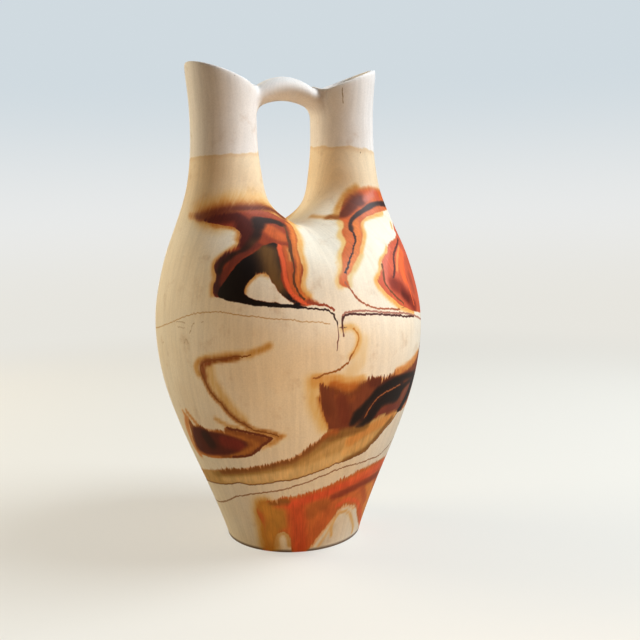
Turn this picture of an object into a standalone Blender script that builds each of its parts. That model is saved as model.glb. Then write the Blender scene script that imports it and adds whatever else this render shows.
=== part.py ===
"""Two-spouted wedding vase in fired clay, modelled as a potter assembles one.

A hollow body with a fettled foot carries two round spouts, and an arched
handle bridges them. Each spout has a spigot that seats in a rabbet round the
mouth of its collar on the shoulder, and the handle's ends are coped to the
spouts' walls. The body and the spouts are cut from one smooth vessel form, so
their walls run on across the joints.

Units are metres. +X runs from the left spout to the right one, the front of the
vase faces -Y, and the origin is on the table under the middle of the foot.
"""

import math

import bmesh
import bpy
from mathutils import Vector

# Heights, each measured up from the one before it
FOOT_EDGE_HEIGHT = 0.003  # rounded outer edge of the foot, above the table
BELLY_RISE = 0.104  # foot edge to the widest part of the belly
SHOULDER_RISE = 0.035  # belly to the shoulder, where the spouts start to part
SADDLE_RISE = 0.017  # shoulder to the lowest point between the spouts
ROOT_RISE = 0.007  # saddle to the root of each spout
WAIST_RISE = 0.040  # root to the narrowest part of the spout
RIM_RISE = 0.029  # waist to the high, outer tip of the slanted rim

# Outline of the body
FOOT_RADIUS = 0.0352
FOOT_FLARE = 0.31  # widening of the wall just above the foot, per unit of height
BELLY_RADIUS = 0.0669
SHOULDER_HALF_WIDTH = 0.0620  # along the line of the spouts
SHOULDER_HALF_DEPTH = 0.0540  # front to back
SHOULDER_SIDE_LEAN = 0.31  # how fast the wall draws in at the shoulder, per unit of height
SHOULDER_FRONT_LEAN = 0.60

# Spouts
SPOUT_SPACING = 0.0632  # between the two spouts' axes
ROOT_RADIUS = 0.0222
ROOT_FLARE = 0.38  # widening of the spout's wall at its root, per unit of depth
WAIST_RADIUS = 0.0160
RIM_RADIUS = 0.0177
RIM_TILT = math.radians(18.6)

# Walls and foot
WALL = 0.0040
LIP_THICKNESS = 0.0030
FLOOR_THICKNESS = 0.0060
FLOOR_FILLET = 0.0080
FOOT_RECESS = 0.0015  # hollow under the base, inside the foot ring
FOOT_RING_WIDTH = 0.0060
FOOT_GRIND = 0.0006  # depth of clay ground away to level the foot

# Joints between the pieces
JOINT_LAP = 0.0040  # length of a spout's spigot inside its collar
JOINT_GAP = 0.0003  # film of slip between two pieces

# Handle
HANDLE_THICKNESS = 0.0115
HANDLE_WIDTH = 0.0145
HANDLE_ARCH = 0.0036  # rise of the crown above the handle's ends
HANDLE_STAND = 0.0045  # top of the handle's ends above the low side of the rims
HANDLE_END_SWELL = 0.0006  # how much thicker the ends are than the crown, all round
HANDLE_PARING = 0.0035  # how far the top of each end is pared back from the lip

# Mesh resolution
BODY_SEGMENTS = 24
SADDLE_POINTS = 5
SADDLE_START = math.radians(45)  # how far up the saddle's arch its first point is
BODY_RING_STEPS = 4  # rings from the foot edge to the belly
HANDLE_STATIONS = 9
HANDLE_SEGMENTS = 12
CUTTER_SEGMENTS = 72
FAIRING_ROUNDS = 6
RELAXING_ROUNDS = 3
BLEND_END_POINTS = 4  # points at each end of a spout's outer arc that may relax

# Places that follow from the sizes above
BELLY_HEIGHT = FOOT_EDGE_HEIGHT + BELLY_RISE
SHOULDER_HEIGHT = BELLY_HEIGHT + SHOULDER_RISE
SADDLE_HEIGHT = SHOULDER_HEIGHT + SADDLE_RISE
ROOT_HEIGHT = SADDLE_HEIGHT + ROOT_RISE
WAIST_HEIGHT = ROOT_HEIGHT + WAIST_RISE
RIM_HEIGHT = WAIST_HEIGHT + RIM_RISE
SPOUT_X = SPOUT_SPACING / 2
RIM_LOW_HEIGHT = RIM_HEIGHT - 2 * RIM_RADIUS * math.tan(RIM_TILT)
SEAM_HEIGHT = ROOT_HEIGHT + JOINT_LAP
SPOUT_SEGMENTS = BODY_SEGMENTS // 2 + 1 + SADDLE_POINTS

CLAY_COLOUR = (0.80, 0.66, 0.48, 1.0)
BARE_CLAY_COLOUR = (0.86, 0.80, 0.72, 1.0)
CLAY_ROUGHNESS = 0.75


def hermite(start, start_slope, end, end_slope, share):
    """Cubic from start to end, with slopes already scaled to the whole step."""
    s2 = share * share
    s3 = s2 * share
    return (
        (2 * s3 - 3 * s2 + 1) * start
        + (s3 - 2 * s2 + share) * start_slope
        + (3 * s2 - 2 * s3) * end
        + (s3 - s2) * end_slope
    )


def body_half_axes(height):
    """Half width and half depth of the body's outside at a height up to the shoulder."""
    if height <= BELLY_HEIGHT:
        share = (height - FOOT_EDGE_HEIGHT) / BELLY_RISE
        radius = hermite(FOOT_RADIUS, FOOT_FLARE * BELLY_RISE, BELLY_RADIUS, 0.0, share)
        return radius, radius
    share = (height - BELLY_HEIGHT) / SHOULDER_RISE
    width = hermite(
        BELLY_RADIUS, 0.0, SHOULDER_HALF_WIDTH, -SHOULDER_SIDE_LEAN * SHOULDER_RISE, share
    )
    depth = hermite(
        BELLY_RADIUS, 0.0, SHOULDER_HALF_DEPTH, -SHOULDER_FRONT_LEAN * SHOULDER_RISE, share
    )
    return width, depth


def spout_radius(height):
    """Outside radius of a spout, from its root up to the tip of its rim."""
    if height <= WAIST_HEIGHT:
        share = (height - ROOT_HEIGHT) / WAIST_RISE
        return hermite(ROOT_RADIUS, -ROOT_FLARE * WAIST_RISE, WAIST_RADIUS, 0.0, share)
    share = (height - WAIST_HEIGHT) / RIM_RISE
    return WAIST_RADIUS + (RIM_RADIUS - WAIST_RADIUS) * share * share


def spout_angles():
    """Angles round a spout from its outward side: first the outer arc, then the saddle side."""
    step = 2 * math.pi / SPOUT_SEGMENTS
    outer = BODY_SEGMENTS // 4
    return [step * index for index in range(-outer, SPOUT_SEGMENTS - outer)]


def body_ring(mesh, height, inset):
    """Oval ring of points round the body, counter-clockwise from +X."""
    width, depth = body_half_axes(height)
    step = 2 * math.pi / BODY_SEGMENTS
    return [
        mesh.verts.new(
            ((width - inset) * math.cos(step * k), (depth - inset) * math.sin(step * k), height)
        )
        for k in range(BODY_SEGMENTS)
    ]


def flat_ring(mesh, radius, height):
    step = 2 * math.pi / BODY_SEGMENTS
    return [
        mesh.verts.new((radius * math.cos(step * k), radius * math.sin(step * k), height))
        for k in range(BODY_SEGMENTS)
    ]


def saddle_line(mesh, inset):
    """Points of the arch between the spouts, from the front of the shoulder to its back."""
    depth = SHOULDER_HALF_DEPTH - inset
    rise = SADDLE_RISE - inset
    line = []
    for k in range(1, SADDLE_POINTS + 1):
        turn = SADDLE_START + (math.pi - 2 * SADDLE_START) * (k - 1) / (SADDLE_POINTS - 1)
        line.append(
            mesh.verts.new((0.0, -depth * math.cos(turn), SHOULDER_HEIGHT + rise * math.sin(turn)))
        )
    return line


def rim_height_at(angle):
    """Height of the slanted rim at an angle from a spout's outward side."""
    return RIM_HEIGHT - math.tan(RIM_TILT) * RIM_RADIUS * (1 - math.cos(angle))


def spout_ring(mesh, side, inset, height_at):
    """Ring round one spout, on its wall. side is +1 on the right and -1 on the left."""
    ring = []
    for angle in spout_angles():
        height = height_at(angle)
        radius = spout_radius(height) - inset
        ring.append(
            mesh.verts.new(
                (side * (SPOUT_X + radius * math.cos(angle)), radius * math.sin(angle), height)
            )
        )
    return ring


def bridge(mesh, lower, upper, flip):
    """Quads between two closed rings of as many points."""
    count = len(lower)
    for k in range(count):
        nxt = (k + 1) % count
        corners = [lower[k], lower[nxt], upper[nxt], upper[k]]
        mesh.faces.new(corners[::-1] if flip else corners)


def root_ring_below(shoulder, saddle, side):
    """Closed loop that a spout grows from: its half of the shoulder, then the saddle line."""
    quarter = BODY_SEGMENTS // 4
    if side > 0:
        arc = [shoulder[k % BODY_SEGMENTS] for k in range(-quarter, quarter + 1)]
    else:
        arc = [shoulder[2 * quarter - k] for k in range(-quarter, quarter + 1)]
    return arc + saddle[::-1]


def blend_ring(mesh, below, root, side):
    """Ring halfway up the sweep from the shoulder and saddle into a spout's root."""
    outer_count = BODY_SEGMENTS // 2 + 1
    ring = []
    for index, (low, high, angle) in enumerate(zip(below, root, spout_angles())):
        reach = (high.co - low.co).length if index < outer_count else abs(high.co.x - low.co.x)
        inward = Vector((low.co.x, low.co.y, 0.0)).normalized() * -1
        if index < outer_count:
            front_share = inward.y * inward.y
            lean = SHOULDER_SIDE_LEAN + (SHOULDER_FRONT_LEAN - SHOULDER_SIDE_LEAN) * front_share
            leaving = (inward * lean + Vector((0, 0, 1))).normalized()
        else:
            leaving = Vector((side, 0, 0))
        away = Vector((side * math.cos(angle), math.sin(angle), 0.0))
        arriving = (Vector((0, 0, 1)) - away * ROOT_FLARE).normalized()
        ring.append(
            mesh.verts.new(hermite(low.co, leaving * reach, high.co, arriving * reach, 0.5))
        )
    return ring


def add_spout(mesh, shoulder, saddle, side, inset, lip_inset, flip):
    """One skin of a spout, from the shoulder to just under the rim. Returns its top ring and its loose points."""
    below = root_ring_below(shoulder, saddle, side)
    flip = flip if side > 0 else not flip
    root = spout_ring(mesh, side, inset, lambda angle: ROOT_HEIGHT)
    blend = blend_ring(mesh, below, root, side)
    rings = [below, blend, root]
    for share in (1 / 3, 2 / 3, 1.0):
        height = ROOT_HEIGHT + share * WAIST_RISE
        rings.append(spout_ring(mesh, side, inset, lambda angle, z=height: z))
    drop = LIP_THICKNESS / 2
    neck_inset = (inset + lip_inset) / 2
    rings.append(
        spout_ring(
            mesh, side, neck_inset, lambda angle: (WAIST_HEIGHT + rim_height_at(angle) - drop) / 2
        )
    )
    rings.append(spout_ring(mesh, side, lip_inset, lambda angle: rim_height_at(angle) - drop))
    for lower, upper in zip(rings, rings[1:]):
        bridge(mesh, lower, upper, flip)
    side_points = range(BLEND_END_POINTS, BODY_SEGMENTS // 2 + 1 - BLEND_END_POINTS)
    loose = [vertex for index, vertex in enumerate(blend) if index not in side_points]
    return rings[-1], loose


def add_body_wall(mesh, first, inset, flip):
    """Rings of one skin of the body, from its lowest ring to the shoulder."""
    heights = [FOOT_EDGE_HEIGHT + BELLY_RISE * k / BODY_RING_STEPS for k in range(1, BODY_RING_STEPS)]
    heights += [BELLY_HEIGHT, BELLY_HEIGHT + SHOULDER_RISE / 2, SHOULDER_HEIGHT]
    rings = [first] + [body_ring(mesh, height, inset) for height in heights]
    for lower, upper in zip(rings, rings[1:]):
        bridge(mesh, lower, upper, flip)
    return rings[-1]


def add_base(mesh):
    """Underside with its recess and foot ring. Returns the foot's outer edge."""
    ring_inner = FOOT_RADIUS - FOOT_RING_WIDTH
    rings = [
        flat_ring(mesh, ring_inner / 2, FOOT_RECESS),
        flat_ring(mesh, ring_inner - FOOT_RECESS, FOOT_RECESS),
        flat_ring(mesh, ring_inner, -FOOT_GRIND),
        flat_ring(mesh, FOOT_RADIUS - FOOT_EDGE_HEIGHT / 2, -FOOT_GRIND),
        body_ring(mesh, FOOT_EDGE_HEIGHT, 0.0),
    ]
    mesh.faces.new(rings[0][::-1])
    for lower, upper in zip(rings, rings[1:]):
        bridge(mesh, lower, upper, False)
    return rings[-1]


def add_floor(mesh):
    """Inside floor with its fillet. Returns the lowest ring of the inside wall."""
    wall_foot = FLOOR_THICKNESS + FLOOR_FILLET
    radius = body_half_axes(wall_foot)[0] - WALL
    rings = [
        flat_ring(mesh, (radius - FLOOR_FILLET) / 2, FLOOR_THICKNESS),
        flat_ring(mesh, radius - FLOOR_FILLET, FLOOR_THICKNESS),
        body_ring(mesh, wall_foot, WALL),
    ]
    mesh.faces.new(rings[0])
    for lower, upper in zip(rings, rings[1:]):
        bridge(mesh, lower, upper, True)
    return rings[-1]


def smoothed_place(vertex):
    """Where a subdivision surface carries a cage vertex that only quads meet at."""
    count = len(vertex.link_edges)
    place = vertex.co * count * count
    for edge in vertex.link_edges:
        place += edge.other_vert(vertex).co * 4
    for loop in vertex.link_loops:
        place += loop.link_loop_next.link_loop_next.vert.co
    return place / (count * (count + 5))


def relax(vertices):
    """Evens out the points of a sweep that no measurement fixes."""
    for _ in range(RELAXING_ROUNDS):
        means = {}
        for vertex in vertices:
            ends = [edge.other_vert(vertex).co for edge in vertex.link_edges]
            means[vertex] = sum(ends, Vector()) / len(ends)
        for vertex, mean in means.items():
            vertex.co = vertex.co.lerp(mean, 0.5)


def fair_cage(mesh, free=()):
    """Moves the cage so that its subdivision surface passes through the points it was drawn with."""
    free = set(free)
    drawn = {
        vertex: vertex.co.copy()
        for vertex in mesh.verts
        if vertex not in free and all(len(face.verts) == 4 for face in vertex.link_faces)
    }
    for _ in range(FAIRING_ROUNDS):
        steps = {vertex: place - smoothed_place(vertex) for vertex, place in drawn.items()}
        for vertex, step in steps.items():
            vertex.co += step


def vessel_mesh():
    """Cage of the whole hollow vessel: outside, inside and the rounded lips between them."""
    mesh = bmesh.new()
    outer_shoulder = add_body_wall(mesh, add_base(mesh), 0.0, False)
    inner_shoulder = add_body_wall(mesh, add_floor(mesh), WALL, True)
    outer_saddle = saddle_line(mesh, 0.0)
    inner_saddle = saddle_line(mesh, WALL)
    free = [saddle[end] for saddle in (outer_saddle, inner_saddle) for end in (0, -1)]
    for side in (-1, 1):
        outer, outer_loose = add_spout(mesh, outer_shoulder, outer_saddle, side, 0.0, 0.0, False)
        inner, inner_loose = add_spout(
            mesh, inner_shoulder, inner_saddle, side, WALL, LIP_THICKNESS, True
        )
        lip = spout_ring(mesh, side, LIP_THICKNESS / 2, rim_height_at)
        bridge(mesh, outer, lip, side < 0)
        bridge(mesh, lip, inner, side < 0)
        free += outer_loose + inner_loose
    relax(free)
    fair_cage(mesh, free)
    data = bpy.data.meshes.new("vessel_cage")
    mesh.to_mesh(data)
    mesh.free()
    data.shade_smooth()
    return data


def add_object(name, data, parent, material=None):
    item = bpy.data.objects.new(name, data)
    bpy.context.scene.collection.objects.link(item)
    item.parent = parent
    if material is not None:
        item.data.materials.append(material)
    return item


def helper(name, data, parent):
    """A cutter, which isn't a piece of the vase."""
    item = add_object(name, data, parent)
    item.hide_render = True
    item.display_type = "WIRE"
    return item


def lathe(name, profile, x, parent):
    """Solid turned round a vertical axis at x. The profile runs from the axis, bottom to top."""
    mesh = bmesh.new()
    step = 2 * math.pi / CUTTER_SEGMENTS
    rings = [
        [
            mesh.verts.new((x + radius * math.cos(step * k), radius * math.sin(step * k), height))
            for k in range(CUTTER_SEGMENTS)
        ]
        for radius, height in profile
    ]
    mesh.faces.new(rings[0][::-1])
    for lower, upper in zip(rings, rings[1:]):
        bridge(mesh, lower, upper, False)
    mesh.faces.new(rings[-1])
    data = bpy.data.meshes.new(name)
    mesh.to_mesh(data)
    mesh.free()
    return helper(name, data, parent)


def above_seam(name, side, shift, parent):
    """Everything above a spout's stepped seam, raised by shift: spigot inside, shoulder outside."""
    middle = spout_radius(SEAM_HEIGHT) - WALL / 2
    top = RIM_HEIGHT + WALL
    profile = [
        (middle - shift, SEAM_HEIGHT - JOINT_LAP + shift),
        (middle - shift, SEAM_HEIGHT + shift),
        (SPOUT_X - JOINT_GAP, SEAM_HEIGHT + shift),
        (SPOUT_X - JOINT_GAP, top),
    ]
    return lathe(name, profile, side * SPOUT_X, parent)


def cut(item, cutter, operation):
    modifier = item.modifiers.new(cutter.name, "BOOLEAN")
    modifier.operation = operation
    modifier.object = cutter


def subdivide(item):
    modifier = item.modifiers.new("smooth", "SUBSURF")
    modifier.levels = 1
    modifier.render_levels = 1


def foot_plane(parent):
    """Slab under the table, which grinds the foot level."""
    mesh = bmesh.new()
    bmesh.ops.create_cube(mesh, size=2 * BELLY_RADIUS)
    bmesh.ops.translate(mesh, verts=mesh.verts, vec=(0, 0, -BELLY_RADIUS))
    data = bpy.data.meshes.new("foot_plane")
    mesh.to_mesh(data)
    mesh.free()
    return helper("foot_plane", data, parent)


def handle_mesh():
    """Arched bar of oval section, thicker at its ends, with its ends inside the spouts."""
    mesh = bmesh.new()
    end_height = RIM_LOW_HEIGHT + HANDLE_STAND - HANDLE_THICKNESS / 2 - HANDLE_END_SWELL
    rings = []
    for station in range(HANDLE_STATIONS):
        along = 2 * station / (HANDLE_STATIONS - 1) - 1
        reach = SPOUT_X - WAIST_RADIUS
        bow = along * SPOUT_X / reach
        height = end_height + HANDLE_ARCH * (1 - bow * bow)
        slope = -2 * HANDLE_ARCH * bow / reach
        across = Vector((-slope, 0.0, 1.0)).normalized()
        swell = HANDLE_END_SWELL * min(1.0, bow * bow)
        centre = Vector((along * SPOUT_X, 0.0, height))
        ring = []
        for k in range(HANDLE_SEGMENTS):
            angle = 2 * math.pi * k / HANDLE_SEGMENTS
            deep = Vector((0, 1, 0)) * math.cos(angle) * (HANDLE_WIDTH / 2 + swell)
            high = across * math.sin(angle) * (HANDLE_THICKNESS / 2 + swell)
            ring.append(mesh.verts.new(centre + deep + high))
        rings.append(ring)
    mesh.faces.new(rings[0])
    for lower, upper in zip(rings, rings[1:]):
        bridge(mesh, lower, upper, True)
    mesh.faces.new(rings[-1][::-1])
    fair_cage(mesh)
    data = bpy.data.meshes.new("handle_cage")
    mesh.to_mesh(data)
    mesh.free()
    data.shade_smooth()
    return data


def coping_tool(name, side, parent):
    """Outside of a spout, fuller by the joint's gap, flaring above the lip to pare the handle."""
    steps = 8
    low = WAIST_HEIGHT - RIM_RISE / 2
    heights = [low + (RIM_LOW_HEIGHT - low) * k / steps for k in range(steps + 1)]
    profile = [(spout_radius(height) + JOINT_GAP, height) for height in heights]
    pared = profile[-1][0] + HANDLE_PARING
    profile.append((pared, RIM_LOW_HEIGHT + HANDLE_STAND + HANDLE_END_SWELL))
    profile.append((pared, RIM_HEIGHT + HANDLE_THICKNESS))
    return lathe(name, profile, side * SPOUT_X, parent)


def clay(name, colour):
    material = bpy.data.materials.new(name)
    material.use_nodes = True
    shader = material.node_tree.nodes["Principled BSDF"]
    shader.inputs["Base Color"].default_value = colour
    shader.inputs["Roughness"].default_value = CLAY_ROUGHNESS
    shader.inputs["Metallic"].default_value = 0.0
    material.diffuse_color = colour
    return material


def make_body(parent):
    body = add_object("body", vessel_mesh(), parent, clay("dipped_clay", CLAY_COLOUR))
    subdivide(body)
    cut(body, foot_plane(parent), "DIFFERENCE")
    for name, side in (("left_rabbet", -1), ("right_rabbet", 1)):
        cut(body, above_seam(name, side, -JOINT_GAP / 2, parent), "DIFFERENCE")


def make_spout(name, side, parent):
    spout = add_object(name, vessel_mesh(), parent, clay(name + "_clay", BARE_CLAY_COLOUR))
    subdivide(spout)
    cut(spout, above_seam(name + "_seam", side, JOINT_GAP / 2, parent), "INTERSECT")


def make_handle(parent):
    handle = add_object("handle", handle_mesh(), parent, clay("handle_clay", BARE_CLAY_COLOUR))
    subdivide(handle)
    for name, side in (("left_coping", -1), ("right_coping", 1)):
        cut(handle, coping_tool(name, side, parent), "DIFFERENCE")


def main():
    for item in list(bpy.data.objects):
        bpy.data.objects.remove(item)
    vase = bpy.data.objects.new("wedding_vase", None)
    bpy.context.scene.collection.objects.link(vase)
    make_body(vase)
    make_spout("left_spout", -1, vase)
    make_spout("right_spout", 1, vase)
    make_handle(vase)


main()
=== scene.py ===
"""Dressed wedding vase: pale cast clay with two spouts, a bridging handle and floated pigment.

The vase was dipped, as far as the middle of its spouts, in water with earth pigments floating on it.
They drew out over the clay as feathered flames, pools and hair lines on a honey-coloured ground.

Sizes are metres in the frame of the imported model: +X runs from the left spout to the right one and the
front faces -Y. The swirls alone are drawn in degrees round the vase and millimetres above the table.
"""

import math
from collections import namedtuple

import bmesh
import bpy
import numpy as np
from mathutils import Matrix, Vector


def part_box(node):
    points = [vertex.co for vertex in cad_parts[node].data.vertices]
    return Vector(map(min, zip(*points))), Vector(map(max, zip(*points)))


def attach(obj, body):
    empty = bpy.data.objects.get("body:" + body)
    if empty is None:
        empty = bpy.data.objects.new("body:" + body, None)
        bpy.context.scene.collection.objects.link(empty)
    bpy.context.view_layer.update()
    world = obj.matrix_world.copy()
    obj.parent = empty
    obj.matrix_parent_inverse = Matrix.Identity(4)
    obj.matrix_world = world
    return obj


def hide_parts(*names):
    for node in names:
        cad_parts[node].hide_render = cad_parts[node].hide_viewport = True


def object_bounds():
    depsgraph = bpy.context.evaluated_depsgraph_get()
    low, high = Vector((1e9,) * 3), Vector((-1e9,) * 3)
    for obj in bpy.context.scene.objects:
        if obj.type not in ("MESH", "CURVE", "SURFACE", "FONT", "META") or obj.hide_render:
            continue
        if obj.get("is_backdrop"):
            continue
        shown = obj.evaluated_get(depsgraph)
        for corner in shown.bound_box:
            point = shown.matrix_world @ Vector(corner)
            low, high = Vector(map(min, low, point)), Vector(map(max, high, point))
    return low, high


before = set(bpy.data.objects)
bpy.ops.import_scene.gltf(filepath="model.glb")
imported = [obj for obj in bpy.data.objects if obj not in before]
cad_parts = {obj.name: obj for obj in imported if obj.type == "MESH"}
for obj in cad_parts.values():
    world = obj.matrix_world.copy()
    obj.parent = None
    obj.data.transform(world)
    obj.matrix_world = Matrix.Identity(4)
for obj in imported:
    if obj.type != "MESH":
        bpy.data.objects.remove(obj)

bl_info = {
    "name": "Wedding Vase",
    "version": (1, 0, 0),
    "blender": (4, 5, 0),
    "location": "View3D > Sidebar > Wedding Vase",
    "description": "Builds a two-spouted clay vase with floated pigments, and a pale stage for it",
    "category": "Add Mesh",
}

CAD_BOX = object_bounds()
BODY_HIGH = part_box("body")[1]


def srgb(red, green, blue):
    """Scene colour of a screen colour from 0 to 255."""
    parts = [value / 255 for value in (red, green, blue)]
    return tuple(
        part / 12.92 if part <= 0.04045 else ((part + 0.055) / 1.055) ** 2.4 for part in parts
    ) + (1.0,)


def number(name, description, default, **limits):
    return bpy.props.FloatProperty(name=name, description=description, default=default, **limits)


def length(name, description, default):
    return number(name, description, default, min=0.0, unit="LENGTH", precision=5)


def slope(name, description, default):
    return number(name, description, default, min=0.0)


def turn(name, description, degrees):
    return number(name, description, math.radians(degrees), subtype="ANGLE")


def share(name, description, default):
    return number(name, description, default, min=0.0, max=1.0, subtype="FACTOR")


def colour(name, description, red, green, blue):
    return bpy.props.FloatVectorProperty(
        name=name, description=description, default=srgb(red, green, blue), size=4,
        min=0.0, max=1.0, subtype="COLOR",
    )


class VaseSizes(bpy.types.PropertyGroup):
    """Sizes of the clay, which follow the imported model."""

    foot_radius: length("Foot radius", "Outside radius of the foot's rounded edge", 0.0352)
    foot_edge_height: length("Foot edge", "Height of the foot's rounded edge", 0.003)
    foot_flare: slope("Foot flare", "Widening of the wall just above the foot", 0.31)
    foot_recess: length("Foot recess", "Hollow under the base", 0.0015)
    foot_ring_width: length("Foot ring", "Width of the ring that the vase stands on", 0.006)
    belly_height: length("Belly height", "Height of the widest part", 0.107)
    belly_radius: length("Belly radius", "Radius at the widest part", BODY_HIGH.x)
    shoulder_height: length("Shoulder height", "Where the spouts start to part", 0.142)
    shoulder_half_width: length("Shoulder half width", "Along the line of the spouts", 0.062)
    shoulder_half_depth: length("Shoulder half depth", "From the middle to the front", 0.054)
    shoulder_side_lean: slope("Side lean", "How fast the wall draws in at the sides", 0.31)
    shoulder_front_lean: slope("Front lean", "How fast the wall draws in at the front", 0.60)
    saddle_height: length("Saddle height", "Lowest point between the spouts", 0.159)
    spout_spacing: length("Spout spacing", "Between the axes of the two spouts", 0.0632)
    root_height: length("Root height", "Height of the root of each spout", 0.166)
    root_radius: length("Root radius", "Radius of a spout at its root", 0.0222)
    root_flare: slope("Root flare", "Widening of a spout's wall at its root", 0.38)
    seam_height: length("Seam height", "Where each spout is luted to the body", 0.170)
    waist_height: length("Waist height", "Narrowest part of the spouts", 0.206)
    waist_radius: length("Waist radius", "Radius of a spout at its waist", 0.016)
    rim_height: length("Rim height", "High outer tip of the slanted rims", 0.235)
    rim_radius: length("Rim radius", "Radius of a spout at its rim", 0.0177)
    rim_tilt: turn("Rim tilt", "Slant of the rims towards the handle", 18.6)
    lip_hump: length("Lip hump", "Rise of each lip where the handle runs into it", 0.0032)
    wall: length("Wall", "Thickness of the clay", 0.004)
    lip_thickness: length("Lip thickness", "Thickness of the rounded lips", 0.003)
    floor_thickness: length("Floor thickness", "Clay under the cavity", 0.006)
    floor_fillet: length("Floor fillet", "Round between the floor and the wall", 0.008)
    handle_crown: length("Handle crown", "Height of the handle's middle line at its crown", 0.22475)
    handle_end: length("Handle end", "Height of the handle's middle line at the spouts", 0.21985)
    handle_thickness: length("Handle thickness", "Top to bottom at the crown", 0.0115)
    handle_end_thickness: length("Handle end thickness", "Top to bottom at the spouts", 0.0103)
    handle_width: length("Handle width", "Front to back", 0.0145)
    fillet_above: length("Fillet above", "Clay smoothed into the lip over the handle", 0.0009)
    fillet_beside: length("Fillet beside", "Clay smoothed into the spout beside the handle", 0.003)
    fillet_below: length("Fillet below", "Clay smoothed into the spout under the handle", 0.005)


class VaseFinish(bpy.types.PropertyGroup):
    """Colours of the clay, the wash and the floated pigments."""

    bare_clay: colour("Bare clay", "Undipped clay of the spouts and the handle", 236, 230, 224)
    clay_shade: colour("Clay shade", "Slightly darker patches in the bare clay", 227, 217, 207)
    cream: colour("Cream", "Dipped clay of the body", 241, 231, 212)
    honey: colour("Honey", "Stain that the dip left under its edge", 238, 216, 182)
    tide: colour("Tide line", "Darker edge of the dip", 218, 186, 144)
    amber: colour("Amber", "Thin pigment that bled out round the swirls", 208, 146, 72)
    rim_rust: colour("Rim rust", "Edge of a pool of pigment", 168, 88, 40)
    hot: colour("Hot orange", "Bright streaks inside the swirls", 240, 98, 54)
    roughness: share("Roughness", "Roughness of the dry clay", 0.62)
    grain: length("Grain depth", "Depth of the clay's fine grain", 0.00006)


class StageSettings(bpy.types.PropertyGroup):
    """Camera, floor and light."""

    camera_distance: length("Camera distance", "From the vase's axis to the camera", 0.43167)
    camera_height: length("Camera height", "Above the table", 0.16989)
    camera_bearing: turn("Camera bearing", "How far left of the front the camera stands", 22.637)
    camera_heading: turn("Camera heading", "How far right of the vase's axis it looks", 2.106)
    camera_pitch: turn("Camera pitch", "How far down it looks", 7.9638)
    camera_roll: turn("Camera roll", "How far it leans", -1.0909)
    camera_lens: number("Lens", "Focal length on a 36 mm sensor", 47.95, unit="CAMERA")
    floor_colour: colour("Floor", "Table under the vase", 231, 229, 222)
    horizon_colour: colour("Horizon", "Low part of the backdrop", 233, 234, 233)
    wall_colour: colour("Backdrop", "High part of the backdrop", 208, 218, 224)
    glow: share("Glow", "Share of the stage's own colour that the camera sees", 0.6)
    floor_radius: length("Floor radius", "Flat part of the sweep", 0.75)
    sweep_radius: length("Sweep radius", "Curve from the floor up to the backdrop", 0.6)
    wall_top: length("Backdrop height", "Top of the backdrop", 1.6)
    key_strength: number("Key", "Soft light from high on the right", 13.4, unit="POWER")
    fill_strength: number("Fill", "Warm light from the back left", 8.0, unit="POWER")
    bounce_strength: number("Bounce", "Low warm light thrown back by the table", 0.5, unit="POWER")
    world_strength: number("Sky", "Even light from all round", 0.05)


# Resolution of the meshes
BODY_SEGMENTS = 24
BODY_RING_STEPS = 5
SADDLE_POINTS = 5
SPOUT_SEGMENTS = BODY_SEGMENTS // 2 + 1 + SADDLE_POINTS
BLEND_END_POINTS = 4
FAIRING_ROUNDS = 6
RELAXING_ROUNDS = 3
OUTSIDE_LEVEL, SPOUT_LEVEL, INSIDE_LEVEL = 4, 3, 2
HANDLE_SECTION_POINTS = 64
HANDLE_SPAN_STEPS = 12
HANDLE_FILLET_STEPS = 8
WALL_ROUNDS = 8
STAGE_SEGMENTS = 96
SWEEP_STEPS = 12

# Where the saddle's arch starts, how far the lip's hump spreads, and how deep the handle's ends are sunk
SADDLE_START = math.radians(45)
HUMP_REACH = math.radians(40)
HANDLE_FOOT_DEPTH = 0.0008
HANDLE_FOOT_SHARES = (1.0, 0.6, 0.2)

# Open edges round a spout are two rings if their radii differ by more than this share
TWO_RINGS_APART = 0.1

# Lights: size, degrees right of the camera, degrees up, distance and tone
LIGHTS = {
    "key": (0.5, 88, 48, 0.95, (0.84, 0.925, 1.0)),
    "fill": (0.5, -110, 20, 0.95, (1.0, 0.84, 0.58)),
    "bounce": (0.25, 18, -24, 0.25, (1.0, 0.62, 0.3)),
}
LIGHT_TARGET_HEIGHT = 0.11
SKY_TONE = (1.0, 0.84, 0.66, 1.0)
SENSOR_WIDTH = 36.0
NEAREST_SEEN = 0.01

# Heights and the distance in metres between which the stage's paper changes
HORIZON_TOP = 0.16
WALL_START, WALL_WHOLE = 0.1, 0.42
GLOW_START = 0.4

# Tags that say which piece a face of the vessel belongs to
BODY_OUTSIDE, BODY_INSIDE, LEFT_SPOUT, RIGHT_SPOUT = range(4)
SPOUT_TAG = {-1: LEFT_SPOUT, 1: RIGHT_SPOUT}

# Swirls: degrees round the vase from the middle of the camera's view, to the right, and mm above the
# table. Above the shoulder the degrees are counted round each spout.
VIEW_MIDDLE = 112.637
SPOUTS_START, SPOUTS_WHOLE = 140.0, 172.0
# Distances stop counting at FAR and hair lines at LINE_REACH, in mm. No wall counts as flatter than FLATTEST.
FAR = 30.0
LINE_REACH = 2.5
FLATTEST = 0.35
CLOSED_LAYERS = ("pool", "eye", "core")
HAIR_LAYERS = ("hair_a", "hair_b", "hair_c")


def path(*numbers):
    """Points of a drawn path, from degrees and heights in turn."""
    return tuple(zip(numbers[::2], numbers[1::2]))


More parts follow.
